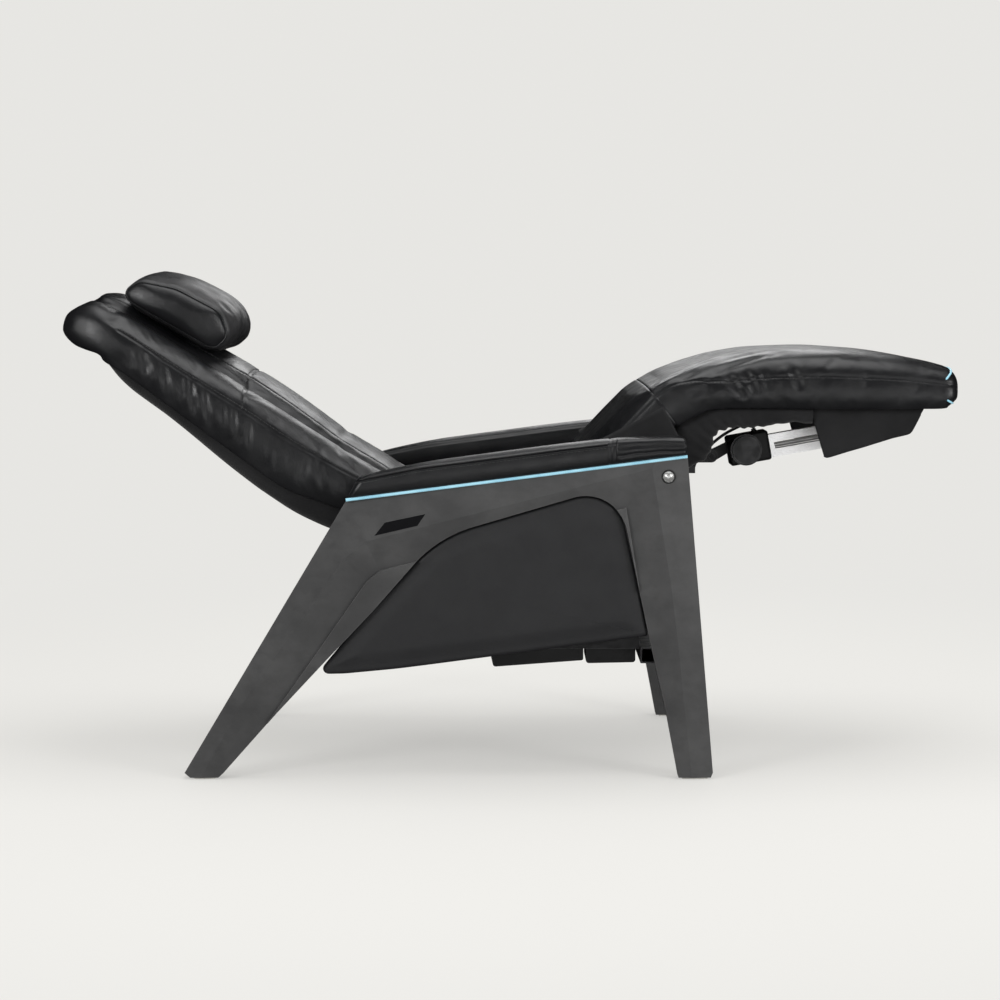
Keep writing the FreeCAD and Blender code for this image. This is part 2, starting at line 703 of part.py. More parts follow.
def motor(drop):
    centre = (MOTOR_AT[0], MOTOR_AT[1] + drop)
    can = rod(centre, MOTOR_R, -96, -BOX_HALF - 0.3)
    cap = rod(centre, MOTOR_R - 4, -104, -96)
    return joined([can, cap])


def actuator_rail(drop, length):
    """Slotted aluminium rail, closed at its far end."""
    height = (drop - RAIL_HALF_W, drop + RAIL_HALF_W)
    rail = box((BOX_U[1] + 0.3, length), (-RAIL_HALF_Y, RAIL_HALF_Y), height)
    slot = box((BOX_U[1] + 10, length - 10), (-30, 30), (drop - SLOT_HALF, drop + SLOT_HALF))
    bore = Part.makeCylinder(SPINDLE_R, length, V(BOX_U[1] - 5, 0, drop), V(1, 0, 0))
    return rail.cut([slot, bore])


def spindle(drop, length):
    return Part.makeCylinder(SPINDLE_R, length - 4 - BOX_U[1], V(BOX_U[1] + 0.5, 0, drop), V(1, 0, 0))


def slider(drop, travel_at):
    """Nut block on the spindle, with cheeks outside the rail and a pin on each."""
    ends = (travel_at - SLIDER_HALF, travel_at + SLIDER_HALF)
    block = box(ends, (-PLATE_OUT, PLATE_OUT), (drop - SLOT_HALF + 0.3, drop + SLOT_HALF - 0.3))
    pieces = [block]
    for side in (-1, 1):
        y = sorted((side * (RAIL_HALF_Y + 0.4), side * PLATE_OUT))
        cheek = slab([(ends[0], drop - 18), (ends[1], drop - 18), (ends[1], 8, 10), (ends[0], 8, 10)], *y)
        pieces.append(cheek)
        pieces.append(rod((travel_at, 0), PIN_R, *sorted((side * (RAIL_HALF_Y + 0.4), side * (FORK[1] + 6)))))
    bore = Part.makeCylinder(SPINDLE_R + RUN, 60, V(travel_at - 30, 0, drop), V(1, 0, 0))
    return joined(pieces).cut(bore)


def actuator(prefix, clevis, pin, drop, reach):
    """Gearbox, motor, rail, spindle and slider of one actuator; reach is its longest pin distance."""
    angle = direction(clevis, pin)
    start = math.hypot(pin[0] - clevis[0], pin[1] - clevis[1])
    length = reach + SLIDER_HALF + 12
    pieces = {"gearbox": gearbox(drop), "motor": motor(drop), "rail": actuator_rail(drop, length),
              "spindle": spindle(drop, length), "slider": slider(drop, start)}
    backwards = abs(angle) > 90
    for kind, shape in pieces.items():
        if backwards:
            shape = mirrored(shape.mirror(V(0, 0, 0), V(0, 0, 1)))
        save(prefix + "_" + kind, placed(shape, clevis, angle))


def motor_cable():
    """Lead from the clip at the front of the seat, arching over the motor into the gearbox's gland."""
    points = [V(364, -60, CLIP_TOP + 2), V(372, -60, 586), V(395, -60, 607), V(425, -60, 633),
              V(455, -57, 649), V(480, -36, 657), V(493, -12, 645.5)]
    curve = Part.BSplineCurve()
    curve.interpolate(points)
    return swept([curve.toShape()], 3)


# ---- electrics under the seat ----------------------------------------------------------------
TRAY_Z = (240, 242)


def equipment_tray():
    """Bent sheet: a floor that the boxes hang from, and a flange on the right side rail."""
    flange_y = -FRAME_IN + RAIL_DEPTH
    floor = box((-60, CROSS_X[0] - 0.4), (flange_y + 0.2, -50), TRAY_Z)
    flange = box((-60, CROSS_X[0] - 0.4), (flange_y + 0.2, flange_y + 2.2), (TRAY_Z[0], 330))
    return joined([floor, flange])


def power_supply():
    return slab([(-42, TRAY_Z[0] - 0.3), (146, TRAY_Z[0] - 0.3), (146, 200, 4), (-30, 187, 6)], -190, -70)


def control_box():
    return slab([(151, TRAY_Z[0] - 0.3), (248, TRAY_Z[0] - 0.3), (248, 196, 6), (151, 194, 6)], -190, -70)


INLET_X = (-60, -42.4)
INLET_Y = (-147, -113)
INLET_Z = (204, 228)
INLET_WALL = 5


def power_inlet():
    """Two-pole appliance inlet on the rear end of the power supply."""
    body = box(INLET_X, INLET_Y, INLET_Z)
    mouth = box((INLET_X[0] - 1, INLET_X[1] - INLET_WALL), (INLET_Y[0] + INLET_WALL, INLET_Y[1] - INLET_WALL),
                (INLET_Z[0] + INLET_WALL, INLET_Z[1] - INLET_WALL))
    y, z = sum(INLET_Y) / 2, sum(INLET_Z) / 2
    pins = [bar(V(INLET_X[0] + 4, y + side, z), V(INLET_X[1] - 2, y + side, z), 1.2) for side in (-4.3, 4.3)]
    return joined([body.cut(mouth)] + pins)


# ---- head pillow -----------------------------------------------------------------------------
TAPE_T = 1.5


def along_back(x, lift):
    """The point over the back's straight top line at x, lifted square to it."""
    (x0, z0), (x1, z1) = BACK_TOP
    length = math.hypot(x1 - x0, z1 - z0)
    z = z0 + (z1 - z0) * (x - x0) / (x1 - x0)
    return (x - (z1 - z0) / length * lift, z + (x1 - x0) / length * lift)


def back_strip(x0, x1, low, high, half):
    return slab([along_back(x0, low), along_back(x1, low), along_back(x1, high), along_back(x0, high)],
                -half, half)


def head_pillow():
    base = CENTRE_RAISE + 0.4 + TAPE_T + 0.6 + TAPE_T + 0.4
    points = [along_back(-754, base) + (18,), along_back(-773, 42) + (22,), along_back(-758, 88) + (28,),
              along_back(-690, 119) + (90,), along_back(-598, 123) + (36,), along_back(-560, 80) + (34,),
              along_back(-570, base) + (20,)]
    return slab(points, -172, 172)


# ---- everything ------------------------------------------------------------------------------
def build_base():
    save("right_side_frame", side_frame())
    save("left_side_frame", mirrored(side_frame()))
    save("right_armrest_pad", armrest_pad())
    save("left_armrest_pad", mirrored(armrest_pad()))
    save("armrest_boards", both(armrest_board()))
    save("arm_piping", both(arm_piping()))
    save("right_side_panel", side_panel())
    save("left_side_panel", mirrored(side_panel()))
    save("panel_boards", both(panel_board()))
    save("name_plates", both(name_plate()))
    save("side_rails", both(side_rail()))
    save("front_cross_rail", front_cross_rail())
    save("rear_cross_rail", rear_cross_rail())
    save("pivot_plates", both(pivot_plate()))
    save("pivot_axles", both(pivot_axle()))
    save("frame_bolts", both(frame_bolt()))
    save("bolt_washers", both(bolt_washer()))
    bolts = [rail_bolt(x) for x in RAIL_BOLT_X]
    save("rail_bolts", Part.makeCompound(bolts + [mirrored(b) for b in bolts]))
    save("foot_glides", foot_glides())
    save("equipment_tray", equipment_tray())
    save("power_supply", power_supply())
    save("control_box", control_box())
    save("power_inlet", power_inlet())


def build_seat():
    save("seat_tubes", both(seat_tube()))
    save("seat_cross_tubes", seat_cross_tubes())
    save("hanger_plates", both(hanger_plate()))
    save("pivot_bushings", both(pivot_bushing()))
    back_piece, seat_piece = decks()
    save("back_deck", back_piece)
    save("seat_deck", seat_piece)
    save("recline_crank", recline_crank())
    save("legrest_clevis", legrest_clevis())
    save("knee_hinge_plates", both(knee_hinge_plate()))
    save("knee_pins", both(knee_pin()))
    back_cushion, seat_cushion = body_cushions()
    save("back_cushion", back_cushion)
    save("seat_cushion", seat_cushion)
    save("knee_roll", knee_roll())
    save("back_cover", back_cover())
    save("knee_sleeves", both(knee_sleeve()))
    low = CENTRE_RAISE + 0.4
    save("loop_tape", back_strip(-780, -520, low, low + TAPE_T, 60))


def build_legrest():
    save("legrest_tubes", legrest_tubes())
    save("legrest_hinge_plates", both(legrest_hinge_plate()))
    save("legrest_board", legrest_board())
    save("legrest_cushion", legrest_cushion())
    save("legrest_sleeves", both(legrest_sleeve()))
    save("legrest_flaps", both(legrest_flap()))
    save("foot_piping", foot_piping())
    save("drive_bracket", drive_bracket())


def build_pillow():
    save("head_pillow", head_pillow())
    low = CENTRE_RAISE + 0.4 + TAPE_T + 0.6
    save("hook_tape", back_strip(-690, -600, low, low + TAPE_T, 55))


build_base()
build_seat()
build_legrest()
actuator("recline", BASE_CLEVIS, CRANK_PIN, RECLINE_DROP, 374)
actuator("legrest", SEAT_CLEVIS, DRIVE_PIN, LEG_DROP, 251)
save("motor_cable", motor_cable())
build_pillow()

for name, shape in nodes.items():
    shape = shape.copy()
    shape.translate(V(CENTRE_SHIFT, 0, 0))
    if not shape.isValid():
        raise ValueError(name + " is not a valid shape")
    shape.exportStep("parts/" + name + ".step")
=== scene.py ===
"""The looks of the zero gravity recliner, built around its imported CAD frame, in metres."""

import json
import math

import bmesh
import bpy
import numpy as np
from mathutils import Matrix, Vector
from mathutils.bvhtree import BVHTree
from mathutils.kdtree import KDTree


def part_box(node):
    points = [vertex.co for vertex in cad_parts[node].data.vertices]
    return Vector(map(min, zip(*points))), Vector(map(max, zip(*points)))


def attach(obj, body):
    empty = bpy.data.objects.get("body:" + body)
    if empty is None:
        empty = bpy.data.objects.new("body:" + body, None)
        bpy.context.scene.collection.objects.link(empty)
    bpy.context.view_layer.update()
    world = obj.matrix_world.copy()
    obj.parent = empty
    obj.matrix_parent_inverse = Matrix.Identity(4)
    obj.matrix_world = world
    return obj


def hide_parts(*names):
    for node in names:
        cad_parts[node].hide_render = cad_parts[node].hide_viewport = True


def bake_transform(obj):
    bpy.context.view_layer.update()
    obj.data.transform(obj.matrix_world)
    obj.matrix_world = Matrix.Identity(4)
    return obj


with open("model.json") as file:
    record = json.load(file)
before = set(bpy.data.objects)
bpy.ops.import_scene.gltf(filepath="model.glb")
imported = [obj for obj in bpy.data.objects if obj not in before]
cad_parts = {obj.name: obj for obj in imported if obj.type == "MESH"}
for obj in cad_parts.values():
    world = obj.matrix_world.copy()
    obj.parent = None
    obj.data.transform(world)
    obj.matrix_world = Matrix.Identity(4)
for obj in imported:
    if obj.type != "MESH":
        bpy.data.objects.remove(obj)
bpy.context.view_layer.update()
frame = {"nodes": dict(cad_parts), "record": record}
nodes = frame["nodes"]
scene = bpy.context.scene

MM = 0.001
CELL = 7 * MM                  # spacing of a cushion's mesh before it is subdivided
END_REACH = 70 * MM            # how far along a cushion the curve of its end is felt
CENTRE_RAISE = 25 * MM         # the back's middle panel over its side bolsters
CROSS_SEAM_X = -0.512          # where the back's cross seam runs
PANEL_SEAM = 0.45              # where its long seams run, as a share of its half width
BOLSTER_GROOVE = 0.595         # where its bolsters start, likewise
PILLOW_DOME = 16 * MM          # how far the pillow's end caps stand out
PANEL_CROWN = 3 * MM           # how far the side panels' middles stand out
SLEEVE_HALF = 23 * MM          # half the width of a knee sleeve
WELT_R = 2 * MM
HEM_R = 1.4 * MM
THREAD_R = 0.55 * MM
STITCH_PITCH = 7 * MM
STITCH_LENGTH = 4.6 * MM
CABLE_D = 6 * MM
CABLE_ROUTE = [(0.3606, -0.060, 0.573), (0.3686, -0.060, 0.586), (0.3916, -0.060, 0.607),
               (0.4216, -0.060, 0.633), (0.4516, -0.057, 0.649), (0.4766, -0.036, 0.657),
               (0.4896, -0.012, 0.6455)]
PAPER = (0.800, 0.793, 0.768)  # the pale grey of floor and backdrop


# ---- lines read from the frame ----
def side_outline(node):
    """The node's outline in the XZ plane, taken from its right-hand face, as points in order."""
    mesh = nodes[node].data
    low = min(v.co.y for v in mesh.vertices) + 1e-4
    corner = {v.index: (round(v.co.x, 5), round(v.co.z, 5)) for v in mesh.vertices if v.co.y < low}
    count = {}
    for face in mesh.polygons:
        if all(v in corner for v in face.vertices):
            for a, b in face.edge_keys:
                edge = frozenset((corner[a], corner[b]))
                count[edge] = count.get(edge, 0) + 1
    linked = {}
    for a, b in [edge for edge, times in count.items() if times == 1 and len(edge) == 2]:
        linked.setdefault(a, []).append(b)
        linked.setdefault(b, []).append(a)
    loop = [min(linked)]
    while True:
        following = [p for p in linked[loop[-1]] if p not in loop[-2:] and (p != loop[0] or len(loop) > 2)]
        if not following or following[0] == loop[0]:
            return np.array(loop)
        loop.append(following[0])


def spots(node, *shares):
    """Places in a node's box, in the XZ plane, given as shares of its length and height."""
    low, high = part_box(node)
    return np.array([(low.x + (high.x - low.x) * across, low.z + (high.z - low.z) * up)
                     for across, up in shares])


def spot(node, across, up):
    return spots(node, (across, up))[0]


def both_ways(node, start, end):
    """The two stretches of a node's outline between the points of it nearest to two places."""
    outline = side_outline(node)
    i = int(np.argmin(np.linalg.norm(outline - start, axis=1)))
    outline = np.roll(outline, -i, axis=0)
    j = int(np.argmin(np.linalg.norm(outline - end, axis=1)))
    return outline[:j + 1], np.concatenate([outline[:1], outline[:j - 1:-1]])


def short_way(node, start, end):
    return min(both_ways(node, start, end), key=lambda line: lengths(line)[-1])


def edge_line(node, start, end, edge):
    """A node's "upper" or "lower" outline between two places, given as shares of its box."""
    ways = both_ways(node, *spots(node, start, end))
    return sorted(ways, key=lambda line: sample(line, even(100))[:, 1].mean())[edge == "upper"]


def even(count):
    """Even shares from 0 to 1."""
    return np.linspace(0, 1, count)


def lengths(line):
    """How far each of a line's points is along it."""
    return np.concatenate([[0], np.cumsum(np.linalg.norm(np.diff(line, axis=0), axis=1))])


def sample(line, share):
    """Points at shares of a line's length."""
    along = lengths(line)
    return np.stack([np.interp(share * along[-1], along, column) for column in line.T], axis=-1)


def softened(line, count, rounds):
    """The line as count even points, with its corners smoothed away."""
    line = sample(line, even(count))
    for _ in range(rounds):
        line[1:-1] = (line[:-2] + 2 * line[1:-1] + line[2:]) / 4
    return line


def round_loop(outline, count, rounds):
    """A closed outline as count even points, its corners smoothed away."""
    loop = sample(np.concatenate([outline, outline[:1]]), np.arange(count) / count)
    for _ in range(rounds):
        loop = (np.roll(loop, 1, axis=0) + 2 * loop + np.roll(loop, -1, axis=0)) / 4
    return loop


def at_y(line, y):
    """A line in the XZ plane as points in space; y is one number or one for each point."""
    return np.stack([line[:, 0], np.broadcast_to(y, len(line)), line[:, 1]], axis=1)


def smooth_curve(places, values):
    """A function through the values whose slope doesn't jump."""
    places, values = np.array(places, float), np.array(values, float)
    slope = np.gradient(values, places)

    def curve(t):
        t = np.clip(t, places[0], places[-1])
        i = np.clip(np.searchsorted(places, t, side="right") - 1, 0, len(places) - 2)
        width = places[i + 1] - places[i]
        s = (t - places[i]) / width
        return (values[i] * (1 + 2 * s) * (1 - s) ** 2 + values[i + 1] * s * s * (3 - 2 * s)
                + width * (slope[i] * s * (1 - s) ** 2 + slope[i + 1] * s * s * (s - 1)))
    return curve


def flank(*heights):
    """A cushion's top from its middle out to its side, at places that draw together near the side."""
    return smooth_curve([0, 0.4, 0.7, 0.89, 0.945, 0.98, 1.0], heights)


def ease(t):
    t = np.clip(t, 0, 1)
    return t * t * (3 - 2 * t)


# ---- meshes ----
def quads(number):
    """Faces between the rows and columns of a grid of point numbers."""
    corners = [number[:-1, :-1], number[1:, :-1], number[1:, 1:], number[:-1, 1:]]
    return np.stack(corners, axis=-1).reshape(-1, 4).tolist()


def round_faces(count, around):
    """Faces round a row of rings of points, open at its ends."""
    number = np.arange(count * around).reshape(count, around)
    return quads(np.concatenate([number, number[:, :1]], axis=1))


def rod_faces(count, around):
    """Faces round a row of rings of points, with a face on each end."""
    last = (count - 1) * around
    return round_faces(count, around) + [list(range(around)), list(range(last, last + around))]


def circle(centre, out, side, radius, count):
    turn = np.linspace(0, 2 * math.pi, count, endpoint=False)[:, None]
    return centre + radius * (out * np.cos(turn) + side * np.sin(turn))


def new_piece(name, points, faces):
    mesh = bpy.data.meshes.new(name)
    mesh.from_pydata([tuple(p) for p in points], [], [tuple(f) for f in faces])
    work = bmesh.new()
    work.from_mesh(mesh)
    bmesh.ops.recalc_face_normals(work, faces=work.faces)
    work.to_mesh(mesh)
    work.free()
    for face in mesh.polygons:
        face.use_smooth = True
    piece = bpy.data.objects.new(name, mesh)
    scene.collection.objects.link(piece)
    return piece


def per_point(piece, value):
    found = np.zeros(len(piece.data.vertices) * 3)
    piece.data.vertices.foreach_get(value, found)
    return found.reshape(-1, 3)


def coords(piece):
    return per_point(piece, "co")


def normals(piece):
    return per_point(piece, "normal")


def place(piece, points):
    piece.data.vertices.foreach_set("co", points.ravel())
    piece.data.update()


def evaluated(piece):
    return piece.evaluated_get(bpy.context.evaluated_depsgraph_get())


def modify(piece, kind, **settings):
    """Changes the piece's mesh by a modifier, and leaves no modifier on it."""
    modifier = piece.modifiers.new(kind, kind)
    for setting, value in settings.items():
        setattr(modifier, setting, value)
    mesh = bpy.data.meshes.new_from_object(evaluated(piece))
    piece.modifiers.clear()
    piece.data = mesh
    mesh.name = piece.name


def subdivide(piece):
    modify(piece, "SUBSURF", levels=1, render_levels=1)


def thicken(piece, thickness):
    modify(piece, "SOLIDIFY", thickness=thickness, offset=0)


def puff(piece, pinned, pressure, cap, frames=14, grow=0.0):
    """Blows a closed piece up as cloth between its pinned points; no point moves further than cap."""
    rest = coords(piece)
    pins = piece.vertex_groups.new(name="pins")
    pins.add([int(i) for i in np.concatenate(pinned)], 1.0, "REPLACE")
    modifier = piece.modifiers.new("cloth", "CLOTH")
    leather_like = {"quality": 4, "mass": 0.25, "tension_stiffness": 12, "compression_stiffness": 12,
                    "shear_stiffness": 4, "bending_stiffness": 0.4, "vertex_group_mass": "pins",
                    "use_pressure": True, "uniform_pressure_force": pressure, "shrink_min": -grow}
    for setting, value in leather_like.items():
        setattr(modifier.settings, setting, value)
    modifier.settings.effector_weights.gravity = 0
    modifier.point_cache.frame_start = 1
    modifier.point_cache.frame_end = frames
    for number in range(1, frames + 1):
        scene.frame_set(number)
    move = coords(evaluated(piece)) - rest
    far = np.maximum(np.linalg.norm(move, axis=1, keepdims=True), 1e-9)
    piece.modifiers.clear()
    piece.vertex_groups.clear()
    scene.frame_set(1)
    place(piece, rest + move * np.minimum(1, cap / far))


class Skin:
    """The skin of a block of cells, numbered (i, j, k) along its length, width and height."""

    def __init__(self, along, across, high):
        self.size = (along, across, high)
        i, j, k = np.meshgrid(*[np.arange(n + 1) for n in self.size], indexing="ij")
        outside = (i == 0) | (i == along) | (j == 0) | (j == across) | (k == 0) | (k == high)
        self.number = np.full(i.shape, -1)
        self.number[outside] = np.arange(outside.sum())
        self.cells = np.stack([i[outside], j[outside], k[outside]], axis=1)

    def faces(self):
        found = []
        for axis in range(3):
            for end in (0, self.size[axis]):
                found += quads(np.take(self.number, end, axis=axis))
        return found

    def rows(self, *lines):
        """Numbers of the points on lines of the skin, each given as (i, j, k) with None for all."""
        return [self.number[tuple(slice(None) if n is None else n for n in line)].ravel() for line in lines]


def cushion(name, under, top, half, section, y=0.0, start_end=None, far_end=None, bulge=6 * MM,
            high=11, cell=CELL, corner=30 * MM, skirt=0.0):
    """A stuffed leather block between two lines in the XZ plane. section(u, v) is the height of its top,
    as a share of the way from under to top; start_end and far_end are the lines that its ends follow,
    or None for a flat end; skirt is how far its sides hang below under, as a share of its height."""
    length = max(lengths(under)[-1], lengths(top)[-1])
    along = int(length / cell)
    probe = np.linspace(-1, 1, 801)
    height = section(np.full(801, 0.5), probe) * np.linalg.norm(sample(top, 0.5) - sample(under, 0.5))
    rim = lengths(np.stack([probe * half, height], axis=1))
    across = max(8, int(rim[-1] / cell / 2) * 2)
    v_at = np.interp(np.linspace(0, rim[-1], across + 1), rim, probe)
    skin = Skin(along, across, high)
    u = skin.cells[:, 0] / along
    v = v_at[skin.cells[:, 1]]
    w = skin.cells[:, 2] / high
    rise = w * section(u, v) - skirt * (1 - w) * ease((np.abs(v) - 0.90) / 0.07)
    a, b = sample(under, u), sample(top, u)
    flat = a + (b - a) * rise[:, None]
    from_end = np.ones(len(u))
    for line, near in ((start_end, 0), (far_end, 1)):
        if line is not None:
            chord = sample(np.array([line[0], line[-1]]), rise)
            bend = sample(line, np.clip(rise, 0, 1)) - chord
            away = np.abs(u - near) * length
            flat = flat + bend * ((1 - np.minimum(away / END_REACH, 1)) ** 2)[:, None]
            from_end = np.minimum(from_end, away / corner)
    tuck = corner * (1 - np.sqrt(1 - (1 - from_end) ** 2)) * 0.7
    wide = half - tuck + bulge * (np.sin(math.pi * w) - 0.5)
    return dress(new_piece(name, at_y(flat, y + v * wide), skin.faces()), "upholstery_leather"), skin, v_at


def press_seams(piece, lines, depth, width):
    """Draws the surface in along lines of its own points."""
    co = coords(piece)
    dense = np.concatenate([sample(co[line], even(max(2, int(lengths(co[line])[-1] / MM))))
                            for line in lines])
    tree = KDTree(len(dense))
    for i, point in enumerate(dense):
        tree.insert(point, i)
    tree.balance()
    far = np.array([tree.find(p)[2] for p in co])
    place(piece, co - normals(piece) * (depth * np.exp(-(far / width) ** 2))[:, None])


def crease(piece, lines):
    """Folds on the side faces. Each is (start, end, width, depth), with its ends in the XZ plane."""
    co, no = coords(piece), normals(piece)
    shift = np.zeros(len(co))
    plan = co[:, [0, 2]]
    for start, end, width, depth in lines:
        way = end - start
        t = np.clip(((plan - start) @ way) / (way @ way), -0.2, 1.2)
        far = (plan - start) @ np.array([-way[1], way[0]]) / np.linalg.norm(way)
        taper = ease((t + 0.2) / 0.45) * ease((1.2 - t) / 0.45)
        dip = -np.exp(-(far / width) ** 2) + 0.40 * np.exp(-((far - 1.7 * width) / width) ** 2)
        shift += depth * taper * (dip + 0.25 * np.exp(-((far + 1.7 * width) / width) ** 2))
    side = ease((np.abs(no[:, 1]) - 0.22) / 0.4)
    place(piece, co + no * (shift * side)[:, None])


def tube(name, line, radius, sides=8):
    """A round tube along a line of points, closed at its ends."""
    ahead = np.gradient(line, axis=0)
    ahead /= np.linalg.norm(ahead, axis=1, keepdims=True)
    out = np.cross(ahead[0], [0.0, 1.0, 0.0])
    if np.linalg.norm(out) < 1e-3:
        out = np.cross(ahead[0], [1.0, 0.0, 0.0])
    rings = []
    for centre, direction in zip(line, ahead):
        out = out - direction * (out @ direction)
        out /= np.linalg.norm(out)
        rings.append(circle(centre, out, np.cross(direction, out), radius, sides))
    return new_piece(name, np.concatenate(rings), rod_faces(len(line), sides))


def surface_of(piece):
    return BVHTree.FromObject(piece, bpy.context.evaluated_depsgraph_get())


def laid_on(surface, points, lifts):
    """The points moved to the nearest place on a surface, each lifted off it by its own amount."""
    laid = []
    for point, lift in zip(points, np.broadcast_to(lifts, len(points))):
        on, normal, _, _ = surface.find_nearest(Vector(point))
        laid.append(np.array(on + normal * lift))
    return np.array(laid)


def stitches(name, piece, lines, aside=(0, 0, 0)):
    """Short threads on a piece along lines, moved aside from them."""
    surface = surface_of(piece)
    rings, faces = [], []
    for line in lines:
        along = lengths(line)[-1]
        for n in range(int(along / STITCH_PITCH)):
            start = n * STITCH_PITCH
            spots_near = [Vector(sample(line, step / along)) + Vector(aside)
                          for step in (start, start + STITCH_LENGTH)]
            (a, up), (b, _) = [map(np.array, surface.find_nearest(near)[:2]) for near in spots_near]
            way = b - a
            if not 0.3 * STITCH_LENGTH < np.linalg.norm(way) < 2 * STITCH_LENGTH:
                continue
            side = np.cross(way, up)
            side /= np.linalg.norm(side)
            first = 6 * len(rings)
            for share, lift, thick in ((0, -0.3, 0.5), (0.2, 0.6, 1), (0.8, 0.6, 1), (1, -0.3, 0.5)):
                centre = a * (1 - share) + b * share + up * THREAD_R * lift
                rings.append(circle(centre, side, up, THREAD_R * thick, 6))
            faces += [[first + v for v in face] for face in rod_faces(4, 6)]
    return dress(new_piece(name, np.concatenate(rings), faces), "upholstery_leather", thread)


def strip(name, near, far, count, shape=None):
    """A sheet between two lines of points, count points across; shape(u, t) moves its points."""
    steps = max(4, int(max(lengths(near)[-1], lengths(far)[-1]) / (6 * MM)))
    u, t = [grid.ravel() for grid in
            np.meshgrid(even(steps), even(count), indexing="ij")]
    a, b = sample(near, u), sample(far, u)
    points = a + (b - a) * t[:, None]
    if shape is not None:
        points = points + shape(u, t)
    return new_piece(name, points, quads(np.arange(steps * count).reshape(steps, count)))


def ring_loft(name, rings, closed=True):
    """A skin over a row of rings of points; closed ends meet in a middle point."""
    count, around = rings.shape[:2]
    faces = round_faces(count, around)
    points = rings.reshape(-1, 3)
    if closed:
        for end in (0, count - 1):
            points = np.concatenate([points, rings[end].mean(axis=0, keepdims=True)])
            first, pole = end * around, len(points) - 1
            faces += [(first + j, first + (j + 1) % around, pole) for j in range(around)]
    return new_piece(name, points, faces)


def area_of(piece):
    return sum(face.area for face in piece.data.polygons)


# ---- materials ----
class Paint:
    """A material being put together from nodes. Colours are given without their alpha."""

    def __init__(self, name, **sockets):
        self.material = bpy.data.materials.new(name)
        self.material.use_nodes = True
        self.tree = self.material.node_tree
        self.shader = self.tree.nodes["Principled BSDF"]
        self.where = self.node("TexCoord").outputs["Object"]
        for socket, value in sockets.items():
            self.feed(self.shader.inputs[socket.replace("_", " ")], value)

    def feed(self, socket, value):
        if isinstance(value, bpy.types.NodeSocket):
            self.tree.links.new(value, socket)
        else:
            socket.default_value = (*value, 1.0) if socket.type == "RGBA" else value

    def node(self, kind, inputs=None, **settings):
        made = self.tree.nodes.new("ShaderNode" + kind)
        for setting, value in settings.items():
            setattr(made, setting, value)
        for socket, value in (inputs or {}).items():
            self.feed(made.inputs[socket], value)
        return made

    def scaled(self, x, y, z):
        """Object coordinates stretched by a factor each way."""
        return self.node("Mapping", {"Vector": self.where, "Scale": (x, y, z)}).outputs["Vector"]

    def noise(self, scale, detail=3.0, where=None, rough=0.5):
        inputs = {"Vector": where or self.where, "Scale": scale, "Detail": detail, "Roughness": rough}
        return self.node("TexNoise", inputs).outputs["Fac"]

    def cells(self, scale, feature):
        inputs = {"Vector": self.where, "Scale": scale}
        return self.node("TexVoronoi", inputs, feature=feature).outputs["Distance"]

    def waves(self, stretch, scale, distortion, detail=2.0, bands="DIAGONAL"):
        inputs = {"Vector": self.scaled(*stretch), "Scale": scale,
                  "Distortion": distortion, "Detail": detail}
        return self.node("TexWave", inputs, bands_direction=bands).outputs["Fac"]

    def map(self, value, low, high, to_low=0.0, to_high=1.0):
        inputs = {"Value": value, "From Min": low, "From Max": high, "To Min": to_low, "To Max": to_high}
        return self.node("MapRange", inputs, interpolation_type="SMOOTHSTEP").outputs["Result"]

    def add(self, a, b):
        return self.node("Math", {0: a, 1: b}, operation="ADD").outputs[0]

    def times(self, a, b):
        return self.node("Math", {0: a, 1: b}, operation="MULTIPLY").outputs[0]

    def blend(self, share, a, b):
        """Colour a where share is 0 and b where it is 1."""
        return self.node("Mix", {"Factor": share, 6: a, 7: b}, data_type="RGBA").outputs[2]

    def cloudy(self, value, a, b, low=0.3):
        """Colour a where the value is low, drifting to b."""
        return self.blend(self.map(value, low, 0.7), a, b)

    def edge_highlight(self, tone, radius, share, bare):
        """The tone, painted lighter towards another colour on the edges of a hard part: a painted highlight
        where a rounded edge would catch the light; radius is in mm.
        """
        rounded = self.node("Bevel", {"Radius": radius * MM}, samples=4).outputs["Normal"]
        sharp = self.node("NewGeometry").outputs["Normal"]
        same = self.node("VectorMath", {0: rounded, 1: sharp}, operation="DOT_PRODUCT").outputs["Value"]
        return self.blend(self.times(self.map(same, 0.985, 0.90), share), tone, bare)

    def bump(self, height, distance, strength, normal=None):
        """Relief of the surface; distance is in mm."""
        inputs = {"Height": height, "Distance": distance * MM, "Strength": strength}
        if normal is not None:
            inputs["Normal"] = normal
        return self.node("Bump", inputs).outputs["Normal"]

    def finished(self, tone, rough, normal):
        for socket, value in (("Base Color", tone), ("Roughness", rough), ("Normal", normal)):
            self.feed(self.shader.inputs[socket], value)
        return self.material


def shade(colour, factor):
    return tuple(part * factor for part in colour)


def leather(name, dark, light, rough, wrinkled):
    """Fine-grained bonded leather with soft larger wrinkling and slightly polished high spots."""
    paint = Paint(name, Specular_IOR_Level=0.55)
    grain = paint.cells(620, "DISTANCE_TO_EDGE")
    tone = paint.cloudy(paint.noise(9, 4), dark, light, 0.35)
    tone = paint.blend(paint.map(grain, 0.0, 0.16, 0.35, 0.0), tone, shade(dark, 0.5))
    gloss = paint.map(paint.noise(26, 5), 0.3, 0.75, rough - 0.06, rough + 0.09)
    soft = paint.bump(paint.noise(38, 4, rough=0.55), 1.6, wrinkled)
    pores = paint.times(paint.noise(1500, 2), 0.35)
    return paint.finished(tone, gloss, paint.bump(paint.add(grain, pores), 0.35, 0.55, soft))


